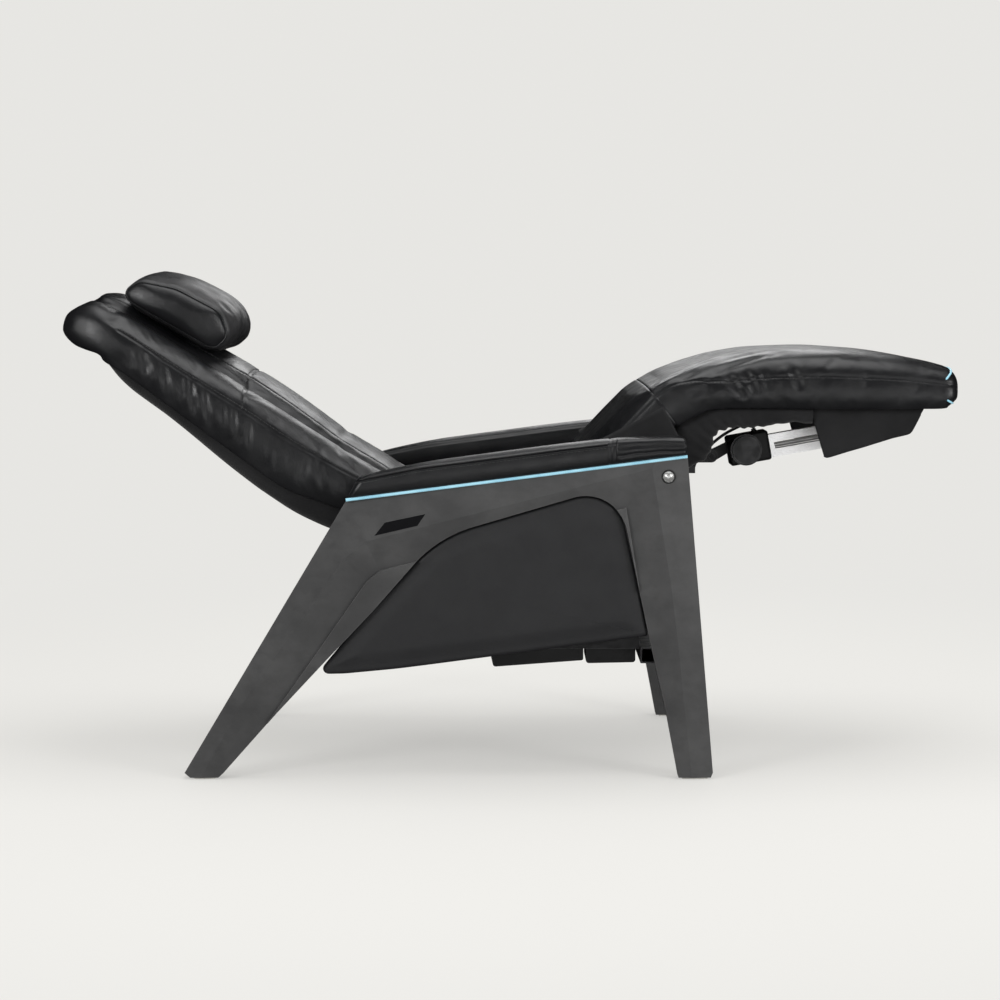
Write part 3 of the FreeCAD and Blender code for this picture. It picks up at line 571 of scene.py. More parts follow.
def woven(name, dark, light, pitch, sheen):
    """Plain-woven cloth: threads crossing at a pitch with a painted sheen on their crowns, a little fuzz,
    and uneven dye.
    """
    paint = Paint(name, Sheen_Weight=sheen, Sheen_Roughness=0.5, Specular_IOR_Level=0.25)
    threads = paint.times(*[paint.waves(stretch, 0.31 / pitch, 0.4, 1.0)
                            for stretch in ((1, 1, 0.6), (-1, 1, 0.7))])
    tone = paint.cloudy(paint.noise(14, 4), dark, light)
    # the thread crowns are painted lighter: a painted sheen on the weave
    tone = paint.blend(paint.map(threads, 0.1, 0.7, 0.0, 0.55), tone, shade(light, 1.7))
    soft = paint.bump(paint.noise(60, 3), 1.2, 0.25)
    fine = paint.bump(paint.add(threads, paint.noise(2200, 2)), 0.4, 0.6, soft)
    return paint.finished(tone, paint.map(threads, 0, 1, 0.85, 0.73), fine)


def stained_wood(name):
    """Charcoal-stained timber under a satin lacquer, its grain drawn out along the frame."""
    paint = Paint(name, Specular_IOR_Level=0.5, Coat_Weight=0.25, Coat_Roughness=0.28)
    stretched = paint.scaled(1.0, 3.0, 1.6)
    grain = paint.noise(30, 7, stretched, 0.66)
    tone = paint.cloudy(paint.noise(6.5, 6, rough=0.6), (0.036, 0.036, 0.037), (0.060, 0.060, 0.061))
    tone = paint.blend(paint.map(grain, 0.42, 0.70, 0.0, 0.35), tone, (0.028, 0.028, 0.029))
    # the frame's edges are painted lighter: a painted highlight along them
    tone = paint.edge_highlight(tone, 1.6, 0.55, (0.13, 0.13, 0.13))
    gloss = paint.map(paint.noise(22, 4, stretched), 0.3, 0.7, 0.34, 0.50)
    return paint.finished(tone, gloss, paint.bump(grain, 0.35, 0.35))


def plywood(name):
    """Black-stained panel board: thin layers with a fine lengthwise grain."""
    paint = Paint(name, Specular_IOR_Level=0.3)
    layers = paint.waves((0.1, 1, 0.1), 180, 1.5, bands="Y")
    grain = paint.noise(60, 5, paint.scaled(0.3, 3, 3))
    tone = paint.cloudy(grain, (0.030, 0.025, 0.021), (0.052, 0.044, 0.037), 0.35)
    tone = paint.blend(paint.times(layers, 0.35), tone, (0.020, 0.017, 0.015))
    return paint.finished(tone, paint.map(grain, 0.3, 0.7, 0.65, 0.8), paint.bump(grain, 0.4, 0.4))


def painted_metal(name, colour, rough):
    """Powder-coated steel: a fine orange peel, with its edges painted a little lighter as a painted
    highlight.
    """
    paint = Paint(name, Metallic=0.35, Specular_IOR_Level=0.5)
    # edges painted lighter grey: a painted highlight
    tone = paint.edge_highlight(paint.cloudy(paint.noise(20, 4), colour, shade(colour, 1.5)), 0.9, 0.45,
                      (0.30, 0.30, 0.31))
    gloss = paint.map(paint.noise(45, 4), 0.3, 0.7, rough - 0.06, rough + 0.08)
    return paint.finished(tone, gloss, paint.bump(paint.noise(900, 2), 0.2, 0.4))


def bare_metal(name, colour, rough, brushed, metallic):
    """Bright metal with fine brush lines and faint handling marks."""
    paint = Paint(name, Metallic=metallic)
    lines = paint.noise(420, 3, paint.scaled(*brushed))
    marks = paint.noise(18, 5)
    tone = paint.cloudy(marks, colour, shade(colour, 0.86), 0.35)
    gloss = paint.add(paint.map(lines, 0.3, 0.7, rough - 0.05, rough + 0.07),
                      paint.map(marks, 0.45, 0.75, 0.0, 0.08))
    return paint.finished(tone, gloss, paint.bump(lines, 0.06, 0.35))


def moulded(name, colour, rough):
    """Moulded plastic with a fine spark-eroded texture and edges painted lighter as a painted highlight."""
    paint = Paint(name, Specular_IOR_Level=0.5)
    spark = paint.noise(1300, 2)
    tone = paint.cloudy(paint.noise(12, 3), colour, shade(colour, 1.35))
    # edges painted lighter: a painted highlight
    tone = paint.edge_highlight(tone, 0.8, 0.3, shade(colour, 3))
    gloss = paint.map(spark, 0.3, 0.7, rough - 0.05, rough + 0.08)
    return paint.finished(tone, gloss, paint.bump(spark, 0.12, 0.5))


def twisted_cord(name):
    """Pale blue piping: a coated cord whose strands show through as fine slanting ribs."""
    paint = Paint(name, Specular_IOR_Level=0.5, Sheen_Weight=0.2)
    ribs = paint.waves((1, 1, 1), 130, 0.5)
    tone = paint.cloudy(paint.noise(25, 3), (0.20, 0.50, 0.66), (0.34, 0.66, 0.80))
    tone = paint.blend(paint.times(ribs, 0.25), tone, (0.62, 0.84, 0.92))
    return paint.finished(tone, paint.map(ribs, 0, 1, 0.42, 0.30), paint.bump(ribs, 0.25, 0.5))


def hooks_and_loops(name):
    """Hook-and-loop tape: dense short loops."""
    paint = Paint(name, Sheen_Weight=0.4, Specular_IOR_Level=0.2)
    loops = paint.cells(900, "F1")
    tone = paint.blend(paint.map(loops, 0.1, 0.6), (0.03, 0.03, 0.03), (0.008, 0.008, 0.008))
    return paint.finished(tone, paint.map(loops, 0, 0.6, 0.8, 0.95), paint.bump(loops, 0.6, 0.9))


def rubber_jacket(name):
    """Cable jacket: smooth soft vinyl with faint scuffs."""
    paint = Paint(name, Specular_IOR_Level=0.5)
    scuff = paint.noise(60, 5)
    tone = paint.cloudy(scuff, (0.010, 0.010, 0.011), (0.022, 0.022, 0.023), 0.4)
    rough = paint.map(scuff, 0.3, 0.7, 0.33, 0.5)
    return paint.finished(tone, rough, paint.bump(paint.noise(500, 2), 0.1, 0.3))


FINISHES = {slot: make(slot + "_finish", *settings) for slot, (make, *settings) in {
    "stained_wood": (stained_wood,),
    "upholstery_leather": (leather, (0.0075, 0.0077, 0.0088), (0.0115, 0.0118, 0.0132), 0.34, 0.18),
    "panel_plywood": (plywood,),
    "piping_cord": (twisted_cord,),
    "badge_plate": (bare_metal, (0.022, 0.022, 0.024), 0.42, (1, 8, 8), 1.0),
    "black_steel": (painted_metal, (0.012, 0.012, 0.013), 0.42),
    "bright_steel": (bare_metal, (0.70, 0.70, 0.69), 0.34, (1, 1, 1), 0.75),
    "dark_washer": (moulded, (0.010, 0.010, 0.010), 0.45),
    "bushing_plastic": (moulded, (0.55, 0.54, 0.50), 0.40),
    "housing_plastic": (moulded, (0.011, 0.011, 0.012), 0.48),
    "motor_paint": (painted_metal, (0.016, 0.016, 0.017), 0.36),
    "rail_aluminium": (bare_metal, (0.95, 0.95, 0.95), 0.30, (1, 12, 12), 0.6),
    "cover_fabric": (woven, (0.007, 0.007, 0.0078), (0.012, 0.012, 0.013), 1.0 * MM, 0.12),
    "hook_and_loop": (hooks_and_loops,),
    "cable_jacket": (rubber_jacket,)}.items()}
hide = FINISHES["upholstery_leather"]
# A lighter copy of the upholstery leather for the side panels: its extra lightness is painted light on
# their upright faces; it is also smoother.
lit_panel_hide = leather("side_panel_lit_leather", (0.0150, 0.0152, 0.0170), (0.0165, 0.0167, 0.0185), 0.50, 0.04)
# A lighter copy of the upholstery leather for the pillow's band: its lightness is painted light on the
# band's up-facing front.
lit_band_hide = leather("pillow_band_lit_leather", (0.025, 0.025, 0.0265), (0.035, 0.035, 0.037), 0.42, 0.2)
thread = woven("thread_finish", (0.020, 0.020, 0.021), (0.035, 0.035, 0.036), 0.5 * MM, 0.25)


def finish_nodes():
    """Gives every CAD node the finish of its slot in the record."""
    slot_of = {entry["node"]: entry["material_slot"] for entry in frame["record"]["subparts"]}
    for name, node in nodes.items():
        node.data.materials.clear()
        node.data.materials.append(FINISHES[slot_of[name]])


def dress(piece, slot, material=None):
    piece.data.materials.clear()
    piece.data.materials.append(material or FINISHES[slot])
    return piece


# ---- camera, light, floor ----
def studio():
    camera = bpy.data.objects.new("camera", bpy.data.cameras.new("camera"))
    camera.data.lens = 93.5
    camera.data.sensor_width = 36
    camera.location = (-0.0204, -5.230, 0.9376)
    camera.rotation_euler = (math.radians(90 - 4.797), 0, 0)
    scene.collection.objects.link(camera)
    scene.camera = camera

    for name, stand, turn, size, power in (
            ("overhead", (0.3, -0.2, 3.4), (0, 0, 0), 2.4, 44),
            ("front_left", (-2.8, -3.6, 1.9), (68, 0, -38), 1.3, 60),
            ("front_right", (3.2, -3.0, 1.7), (70, 0, 46), 1.2, 47),
            ("window", (0.9, -5.7, 0.35), (90, 0, 0), 2.0, 26),
            ("behind", (0.5, 3.6, 2.6), (-58, 0, 0), 1.8, 26)):
        lamp = bpy.data.objects.new(name, bpy.data.lights.new(name, "AREA"))
        lamp.data.size = size
        lamp.data.energy = power
        lamp.location = stand
        lamp.rotation_euler = [math.radians(angle) for angle in turn]
        scene.collection.objects.link(lamp)

    world = bpy.data.worlds.new("studio")
    world.use_nodes = True
    world.node_tree.nodes["Background"].inputs["Color"].default_value = (*PAPER, 1)
    world.node_tree.nodes["Background"].inputs["Strength"].default_value = 1.0
    world.cycles_visibility.glossy = False
    scene.world = world
    scene.view_settings.view_transform = "Standard"
    paper_floor()


def paper_floor():
    """A pale paper floor that takes soft shadows near the chair and runs out into the backdrop."""
    paint = Paint("floor_finish", Roughness=0.9, Specular_IOR_Level=0.0)
    far = paint.node("VectorMath", {0: paint.where}, operation="LENGTH").outputs["Value"]
    tone = paint.blend(paint.noise(900, 3), (0.348, 0.345, 0.337), (0.358, 0.355, 0.347))
    paint.feed(paint.shader.inputs["Base Color"], tone)
    backdrop, half_glow = [paint.node("Emission", {"Color": PAPER, "Strength": strength}).outputs[0]
                           for strength in (1.0, 0.52)]
    lit = paint.node("AddShader", {0: paint.shader.outputs[0], 1: half_glow}).outputs[0]
    near = paint.map(far, 0.8, 3.2, 1.0, 0.0)
    mixed = paint.node("MixShader", {0: near, 1: backdrop, 2: lit})
    paint.feed(paint.tree.nodes["Material Output"].inputs["Surface"], mixed.outputs[0])
    reach, corners = 14.0, 48
    ring = circle(np.zeros(3), np.array([1, 0, 0]), np.array([0, 1, 0]), reach, corners)
    floor = new_piece("floor", ring, [range(corners)])
    floor.data.materials.append(paint.material)
    floor.visible_glossy = False
    return floor


# ---- cushions ----
def back_lines():
    """Under line, top line and head end of the back cushion, read from its CAD outline."""
    node = "back_cushion"
    under = edge_line(node, (0.105, 0.70), (1.0, 0.0), "lower")
    hanging = spots(node, (0.100, 0.757), (0.160, 0.705), (0.259, 0.593))
    under = np.concatenate([hanging, under[under[:, 0] > hanging[-1][0]]])
    top = edge_line(node, (0.070, 0.95), (1.0, 0.3), "upper")
    head = short_way(node, under[0], top[0])
    return softened(under, 140, 3), softened(top, 140, 3), head


def back_cushion():
    """The back: a raised middle panel between two bolsters, plain where it meets the seat."""
    under, top, head = back_lines()
    up = CENTRE_RAISE / np.linalg.norm(sample(top, 0.4) - sample(under, 0.4))
    raised = smooth_curve([0, 0.20, 0.36, 0.44, 0.49, 0.53, 0.565, 0.60, 1.0],
                          [1.06, 1.02, 0.95, 0.85, 0.66, 0.30, 0.06, 0, 0])
    bolster = smooth_curve([0, 0.3, 0.45, 0.54, 0.60, 0.65, 0.73, 0.81, 0.89, 0.945, 0.98, 1.0],
                           [1.0, 1.0, 0.99, 0.965, 0.965, 0.985, 1.0, 1.0, 0.965, 0.895, 0.80, 0.70])
    plain = flank(1.06, 1.04, 1.01, 0.96, 0.89, 0.80, 0.70)

    def section(u, v):
        v = np.abs(v)
        head = np.sqrt(1 - (1 - np.clip(u / 0.085, 0, 1)) ** 2) * (1.05 - 0.05 * ease(u / 0.30))
        fade = ease((u - 0.80) / 0.2)
        full = 0.05 * np.exp(-((u - 0.10) / 0.09) ** 2)
        return (bolster(v) + full + up * head * raised(v)) * (1 - fade) + plain(v) * fade

    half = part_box("back_cushion")[1].y - 5 * MM
    piece, skin, v_at = cushion("back_cushion_leather", under, top, half, section, start_end=head,
                                corner=40 * MM, skirt=0.08)
    along, across, high = skin.size
    grooves, long_seams = [
        skin.rows(*[(slice(2, None), int(np.argmin(np.abs(v_at - side * share))), high)
                    for side in (-1, 1)])
        for share in (BOLSTER_GROOVE, PANEL_SEAM)]
    side_seams = skin.rows(*[(slice(9, None), j, high) for j in (0, across)])
    middle_x = coords(piece)[skin.number[:, across // 2, high], 0]
    cross_seam = skin.rows((int(np.argmin(np.abs(middle_x - CROSS_SEAM_X))), None, high))
    puff(piece, side_seams + long_seams + grooves + cross_seam
         + skin.rows((None, None, 0), (along, None, None)), 2.2, 9 * MM, grow=0.003)
    subdivide(piece)
    press_seams(piece, grooves, 3.0 * MM, 7 * MM)
    press_seams(piece, side_seams + long_seams + cross_seam, 2.0 * MM, 3.2 * MM)
    crease(piece, boxing_folds(under, top))
    co = coords(piece)
    below_pillow = [line[len(line) // 4:] for line in long_seams]
    long_lines = [co[line] for line in side_seams + below_pillow]
    sewing = stitches("back_stitches", piece, long_lines, (0, 0, 4 * MM))
    cross_sewing = stitches("back_cross_stitches", piece, [co[cross_seam[0]]], (-4 * MM, 0, 3 * MM))
    for item in (piece, sewing, cross_sewing):
        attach(item, "seat")
    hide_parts("back_cushion")
    return piece


def boxing_folds(under, top):
    """Upright folds where the back's side band is gathered under its seam."""
    chance = np.random.default_rng(11)
    folds = []
    for share in np.arange(0.12, 0.80, 0.042):
        share = share + chance.uniform(-0.014, 0.014)
        low, high = sample(under, share), sample(top, share + chance.uniform(-0.012, 0.012))
        reach = chance.uniform(0.10, 0.28)
        strength = (3.0 if share < 0.15 else 1.7 if share < 0.5 else 0.9) * MM * chance.uniform(0.3, 1.2)
        folds.append((low + (high - low) * reach, low + (high - low) * chance.uniform(0.55, 0.75),
                      chance.uniform(5, 11) * MM, strength))
    return folds


knee_section = flank(1.0, 0.99, 0.97, 0.93, 0.90, 0.84, 0.76)


def seat_cushion():
    """The seat, whose section turns into the knee's at its front end."""
    node = "seat_cushion"
    under = edge_line(node, (0.0, 0.0), (1.0, 0.68), "lower")
    top = edge_line(node, (0.0, 0.30), (0.87, 1.0), "upper")
    plain = flank(1.05, 1.03, 1.01, 0.97, 0.94, 0.88, 0.80)

    def section(u, v):
        fade = ease((u - 0.72) / 0.28)
        return plain(np.abs(v)) * (1 - fade) + knee_section(np.abs(v)) * fade

    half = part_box(node)[1].y - 5 * MM
    under, top = softened(under, 90, 3), softened(top, 90, 3)
    piece, skin, _ = cushion("seat_cushion_leather", under, top, half, section)
    along, across, high = skin.size
    side_seams = skin.rows((None, 0, high), (None, across, high))
    fixed = skin.rows((0, None, None), (along, None, None), (None, None, 0))
    puff(piece, side_seams + fixed, 2.4, 8 * MM, grow=0.003)
    subdivide(piece)
    press_seams(piece, side_seams, 2.0 * MM, 3.2 * MM)
    seams = [coords(piece)[line] for line in side_seams]
    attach(stitches("seat_stitches", piece, seams, (-3 * MM, 0, 3 * MM)), "seat")
    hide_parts("seat_cushion")
    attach(piece, "seat")
    return piece


def leg_lines():
    """Under line, top line and foot end of the leather that runs from the seat over the knee."""
    roll, rest = "knee_roll", "legrest_cushion"
    top = np.concatenate([edge_line(roll, (0.0, 0.60), (1.0, 1.0), "upper")[:-1],
                          edge_line(rest, (0, 0.78), (0.98, 0.72), "upper")])
    sole = edge_line(rest, (0.10, 0.0), (0.97, 0.0), "lower")
    under = np.concatenate([spot(roll, 0.58, 0.0) + np.array([(0, 0), (28, 14), (58, 28)]) * MM, sole])
    foot = short_way(rest, sole[-1], top[-1])
    tuck = (top[1] - top[0]) / np.linalg.norm(top[1] - top[0]) * 8 * MM
    under, top = [np.concatenate([[line[0] - tuck], line]) for line in (under, top)]
    return softened(under, 120, 4), softened(top, 120, 4), foot


def leg_cushion():
    """The leg rest's cushion and the knee in one leather, which bends over the knee's hinge."""
    under, top, foot = leg_lines()
    rest = smooth_curve([0, 0.4, 0.7, 0.86, 0.93, 0.97, 0.99, 1.0],
                        [0.96, 0.95, 0.93, 0.885, 0.825, 0.73, 0.64, 0.53])

    def section(u, v):
        fade = ease((u - 0.05) / 0.22)
        return knee_section(np.abs(v)) * (1 - fade) + rest(np.abs(v)) * fade

    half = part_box("legrest_cushion")[1].y + 4 * MM
    piece, skin, _ = cushion("leg_cushion_leather", under, top, half, section, far_end=foot,
                             corner=18 * MM, skirt=0.05)
    along, across, high = skin.size
    side_seams = skin.rows((None, 0, high), (None, across, high))
    foot_edge = skin.rows((along, None, 0), (along, None, high), (along, 0, None), (along, across, None))
    fixed = skin.rows((0, None, None), (None, None, 0))
    puff(piece, side_seams + foot_edge + fixed, 2.4, 6 * MM, grow=0.002)
    subdivide(piece)
    press_seams(piece, side_seams + foot_edge, 1.8 * MM, 3.0 * MM)
    crease(piece, knee_folds())
    co = coords(piece)
    sewing = stitches("leg_stitches", piece, [co[line][6:-6] for line in side_seams], (0, 0, -4 * MM))
    x, z = knee_axis()
    for item in (sewing, piece):
        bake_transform(item)
    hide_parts("knee_roll", "legrest_cushion")
    return piece


def knee_axis():
    return coords(nodes["knee_pins"]).mean(axis=0)[[0, 2]]


def knee_folds():
    """Folds in the leg cushion's side band: start and end from the knee's axis, width and depth in mm."""
    knee = knee_axis()
    return [(knee + np.array(start) * MM, knee + np.array(end) * MM, width * MM, depth * MM)
            for start, end, width, depth in (
                ((-43, 56), (-18, 74), 9, 1.8), ((-12, 58), (-2, 94), 10, 2.2),
                ((14, 70), (12, 92), 8, 1.2),
                ((24, 102), (60, 58), 10, 2.8), ((56, 108), (88, 62), 10, 3.0),
                ((98, 104), (108, 68), 10, 1.8), ((150, 116), (170, 72), 9, 2.8),
                ((210, 106), (215, 80), 9, 0.9), ((298, 100), (303, 76), 10, 0.8))]


def foot_piping(leather):
    """Pale cord round the foot end's panel: proud along its top and bottom, sunk in the upright seams."""
    rest = "legrest_cushion"
    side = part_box(rest)[1].y
    seam_high, end_high, end_low, seam_low = spots(rest, (0.952, 0.60), (0.985, 0.68), (0.985, 0.045),
                                                   (0.955, 0.09))
    path = [(x, side * share, z) for (x, z), share in (
        (seam_low, -1.1), (seam_high, -1.1), (end_high, -0.95), (end_high, 0.95), (seam_high, 1.1),
        (seam_low, 1.1), (end_low, 0.95), (end_low, -0.95), (seam_low, -1.1))]
    path = sample(np.array(path), even(420))
    upright = np.abs(path[:, 1]) > side * 1.09
    line = laid_on(surface_of(leather), path, np.where(upright, -4 * MM, 0.6 * MM))
    piece = tube("foot_cord", softened(line, 420, 3), WELT_R)
    dress(piece, "piping_cord")
    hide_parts("foot_piping")
    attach(piece, "legrest")


# ---- head pillow ----
def head_pillow():
    """Two domed end caps in the dark leather and a band wrapped round between them in a lighter copy of it,
    whose extra lightness is painted light, with a welt at each rim.
    """
    loop = round_loop(side_outline("head_pillow"), 112, 5)
    centre = loop.mean(axis=0)
    long_way = np.linalg.svd(loop - centre)[2][0]
    long_way = long_way * np.sign(long_way[0])
    axes = np.array([long_way, [-long_way[1], long_way[0]]])
    flat = (loop - centre) @ axes.T
    corner = flat.min(axis=0)
    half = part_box("head_pillow")[1].y
    narrow = smooth_curve([0, 0.5, 0.78, 0.92, 1.0], [0, 0.10, 0.38, 0.70, 1.0])
    cap_rings = 11

    def ring(v, shrink=1.0):
        draw = float(narrow(abs(v)))
        shape = corner + (flat - corner) * [1 - 0.085 * draw, 1 - 0.22 * draw]
        middle = shape.mean(axis=0)
        return (middle + (shape - middle) * shrink) @ axes + centre

    stations = [(ring(1, share), -half + 5 * MM - PILLOW_DOME * (1 - share ** 3))
                for share in np.linspace(0.05, 0.97, cap_rings)]
    stations += [(ring(v), v * (half - 4 * MM)) for v in np.linspace(-1, 1, 47)]
    stations += [(shape, -y) for shape, y in stations[:cap_rings][::-1]]
    piece = ring_loft("head_pillow_cover", np.array([at_y(shape, y) for shape, y in stations]))
    around, last = len(loop), len(stations) - cap_rings - 1
    piece.data.materials.append(hide)
    # the band gets the lighter leather: painted light
    piece.data.materials.append(lit_band_hide)
    for face in piece.data.polygons:
        face.material_index = int(cap_rings <= min(face.vertices) // around < last)
    rims = [np.arange(around) + number * around for number in (cap_rings, last)]
    caps = [np.arange(rims[0][-1] + 1), np.arange(rims[1][0], len(piece.data.vertices))]
    puff(piece, caps, 3.5, 9 * MM, grow=0.01)
    subdivide(piece)
    closed_rims = [np.append(rim, rim[0]) for rim in rims]
    press_seams(piece, closed_rims, 3.0 * MM, 4.5 * MM)
    rim_lines = [coords(piece)[rim] for rim in closed_rims]
    for line, end, side in zip(rim_lines, ("right", "left"), (-1, 1)):
        welt = tube(end + "_pillow_welt", softened(line + [0, side * 1.5 * MM, 0], 240, 1), WELT_R)
        dress(welt, "upholstery_leather")
        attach(welt, "pillow")
    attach(stitches("pillow_stitches", piece, rim_lines), "pillow")
    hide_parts("head_pillow")
    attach(piece, "pillow")


def back_tape(leather):
    """The loop tape on the back's middle panel, which the pillow's hook tape grips."""
    low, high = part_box("loop_tape")
    ends = spots("loop_tape", (0.03, 0.97), (0.74, 0.26))
    piece = strip("back_tape", at_y(ends, low.y), at_y(ends, high.y), 20)
    place(piece, laid_on(surface_of(leather), coords(piece), 0.5 * MM))
    thicken(piece, 0.9 * MM)
    dress(piece, "hook_and_loop")
    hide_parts("loop_tape")
    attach(piece, "seat")


# ---- arm rests and side panels ----
def arm_rest(side, name):
    """The padded arm: its cover, the wrap of folded leather at its front, and its top welt."""
    node = name + "_armrest_pad"
    low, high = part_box(node)
    middle, half = (low.y + high.y) / 2, (high.y - low.y) / 2 - 1.5 * MM
    under = softened(edge_line(node, (0.0, 0.0), (1.0, 0.72), "lower"), 60, 1)
    top = softened(edge_line(node, (0.03, 0.32), (1.0, 1.0), "upper"), 60, 2)
    rear = short_way(node, under[0], top[0])
    curve = smooth_curve([0, 0.5, 0.75, 0.9, 0.97, 1.0], [1.0, 0.995, 0.98, 0.94, 0.89, 0.84])

    def section(u, v):
        return curve(np.abs(v))

    pad, skin, _ = cushion(name + "_arm_cover", under, top, half, section, y=middle, start_end=rear,
                           bulge=3 * MM, high=8, cell=6 * MM, corner=14 * MM, skirt=0.04)
    along, across, tall = skin.size
    seams = skin.rows((None, 0, tall), (None, across, tall))
    fixed = skin.rows((None, None, 0), (0, None, None), (along, None, None))
    puff(pad, seams + fixed, 2.5, 3 * MM, frames=10)
    subdivide(pad)
    press_seams(pad, seams, 1.6 * MM, 2.6 * MM)
    join = int(along * 0.775)
    front_seam = skin.rows((join, None, tall), (join, 0, None), (join, across, None))
    press_seams(pad, front_seam, 1.5 * MM, 2.4 * MM)
    welt_line = softened(coords(pad)[seams[0 if side < 0 else 1]], 160, 2)
    welt_line = welt_line[:int(len(welt_line) * 0.77)]
    welt = tube(name + "_arm_welt", welt_line + [0, side * 0.6 * MM, 1.8 * MM], WELT_R)
    dress(welt, "upholstery_leather")
    sewing = stitches(name + "_arm_stitches", pad, [welt_line], (0, 0, -6 * MM))
    wrap = arm_wrap(name, under, top, half, section, middle)
    for piece in (pad, welt, wrap, sewing):
        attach(piece, "base")
    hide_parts(node)


def arm_wrap(name, under, top, half, section, middle):
    """Folded leather drawn tight round the front end of the arm, its pleats running along it."""
    share = np.linspace(0.79, 0.997, 36)
    under, top = sample(under, share) - [0, 0.5 * MM], sample(top, share) + [0, 1.6 * MM]
    wrap = cushion(name + "_arm_wrap", under, top, half + 1.2 * MM, section, y=middle, bulge=3 * MM,
                   high=10, cell=5 * MM, corner=6 * MM, skirt=0.02)[0]
    subdivide(wrap)
    co, no = coords(wrap), normals(wrap)
    base = np.interp(co[:, 0], under[:, 0], under[:, 1])
    crest = np.interp(co[:, 0], top[:, 0], top[:, 1])
    level = (co[:, 2] - base) / (crest - base)
    run = (co[:, 0] - under[0, 0]) / (under[-1, 0] - under[0, 0])
    waver = 0.08 * np.sin(run * 7 + 1) + 0.04 * np.sin(run * 17)
    pleats = np.abs(np.sin(math.pi * (3.0 * level + waver + 0.25 * run))) ** 0.6
    side_on = ease((np.abs(no[:, 1]) - 0.3) / 0.4) * ease(run / 0.06)
    place(wrap, co + no * ((pleats - 0.6) * 2.0 * MM * side_on)[:, None])
    return wrap


def side_panel(side, name):
    """The soft crowned panel in the side frame's opening."""
    node = name + "_side_panel"
    low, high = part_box(node)
    outer, inner = (low.y, high.y) if side < 0 else (high.y, low.y)
    loop = round_loop(side_outline(node), 420, 1)
    tail = spot(node, 0.32, 0)[0]
    loop[:, 0] -= 11 * MM * ease((tail - loop[:, 0]) / (tail - low.x))
    ahead = np.roll(loop, -1, axis=0) - np.roll(loop, 1, axis=0)
    inward = np.stack([-ahead[:, 1], ahead[:, 0]], axis=1) / np.linalg.norm(ahead, axis=1, keepdims=True)
    middle = loop.mean(axis=0)
    inward *= np.sign(np.mean(inward * (middle - loop)))
    rounding = [(loop + inward * inset * MM, y) for inset, y in (
        (1, inner), (-1, inner + side * 3 * MM),
        (-2.2, outer - side * 6 * MM), (-1.8, outer - side * 3.5 * MM),
        (-0.4, outer - side * 1.6 * MM), (1.6, outer - side * 0.5 * MM), (4, outer))]
    face = rounding[-1][0]
    inside = [(middle + (face - middle) * (1 - share), outer) for share in np.linspace(0.03, 0.97, 30)]
    points = np.array([at_y(shape, y) for shape, y in rounding + inside])
    for ring in points[len(rounding):]:
        far = np.linalg.norm(ring[:, None, [0, 2]] - face[None, ::3], axis=2).min(axis=1)
        ring[:, 1] += side * PANEL_CROWN * ease(far / (34 * MM))
    piece = ring_loft(name + "_panel_cover", points)
    # the lighter panel leather paints on the light these upright faces catch
    dress(piece, "upholstery_leather", lit_panel_hide)
    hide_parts(node)
    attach(piece, "base")


# ---- fabric under the seat and back ----
def back_cover(back_under):
    """The cloth sling under the back: two side walls and a bottom, drawn up to the cushion."""
    node = "back_cover"
    hang = edge_line(node, (0.0, 0.92), (1.0, 0.0), "lower")
    x = np.linspace(spot(node, 0.0, 0)[0], spot(node, 0.98, 0)[0], 150)
    rim = np.interp(x, back_under[:, 0], back_under[:, 1])
    drop = np.maximum(rim - np.interp(x, hang[:, 0], hang[:, 1]), 0) * ease((x - x[0]) / (16 * MM) + 0.35)
    drop = softened(np.stack([x, drop + 1.5 * MM], axis=1), len(x), 6)[:, 1]
    half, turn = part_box(node)[1].y - 1 * MM, 26 * MM
    points = []
    for u, px, top, deep in zip(even(len(x)), x, rim, drop):
        bend = min(turn, 0.85 * deep)
        wall = [(-half, top + 5 * MM - (deep + 5 * MM - bend) * t) for t in even(7)[:-1]]
        corner = [(-half + bend * (1 - math.cos(a)), top - deep + bend * (1 - math.sin(a)))
                  for a in np.linspace(0, math.pi / 2, 8)]
        floor = [(y, top - deep) for y in np.linspace(-half + bend, 0, 16)[1:]]
        right = np.array(wall + corner + floor)
        right = np.concatenate([right, right[-2::-1] * [-1, 1]])
        taut = math.sin(math.pi * u)
        ripple = (0.5 * math.sin(u * 41) + 0.5 * math.sin(u * 23 + 2)) * 1.2 * MM * taut
        upright = (ease((np.abs(right[:, 0]) - half + turn) / turn)
                   * ease((top - right[:, 1]) / (0.5 * deep)))
        y = right[:, 0] + np.sign(right[:, 0]) * (ripple - 2.0 * MM * taut) * upright
        sag = 1.4 * MM * taut * (1 - upright) * np.sin(u * 19 + right[:, 0] * 12) * min(1, deep / turn)
        points.append(np.stack([np.full(len(y), px), y, right[:, 1] + sag], axis=1))
    points = np.array(points)
    steps, count = points.shape[:2]
    faces = quads(np.arange(steps * count).reshape(steps, count))
    piece = new_piece("back_sling", points.reshape(-1, 3), faces)
    cloth_area, length = area_of(piece), lengths(np.stack([x, rim - drop], axis=1))[-1]
    thicken(piece, 1.2 * MM)
    dress(piece, "cover_fabric")
    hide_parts(node)
    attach(piece, "seat")


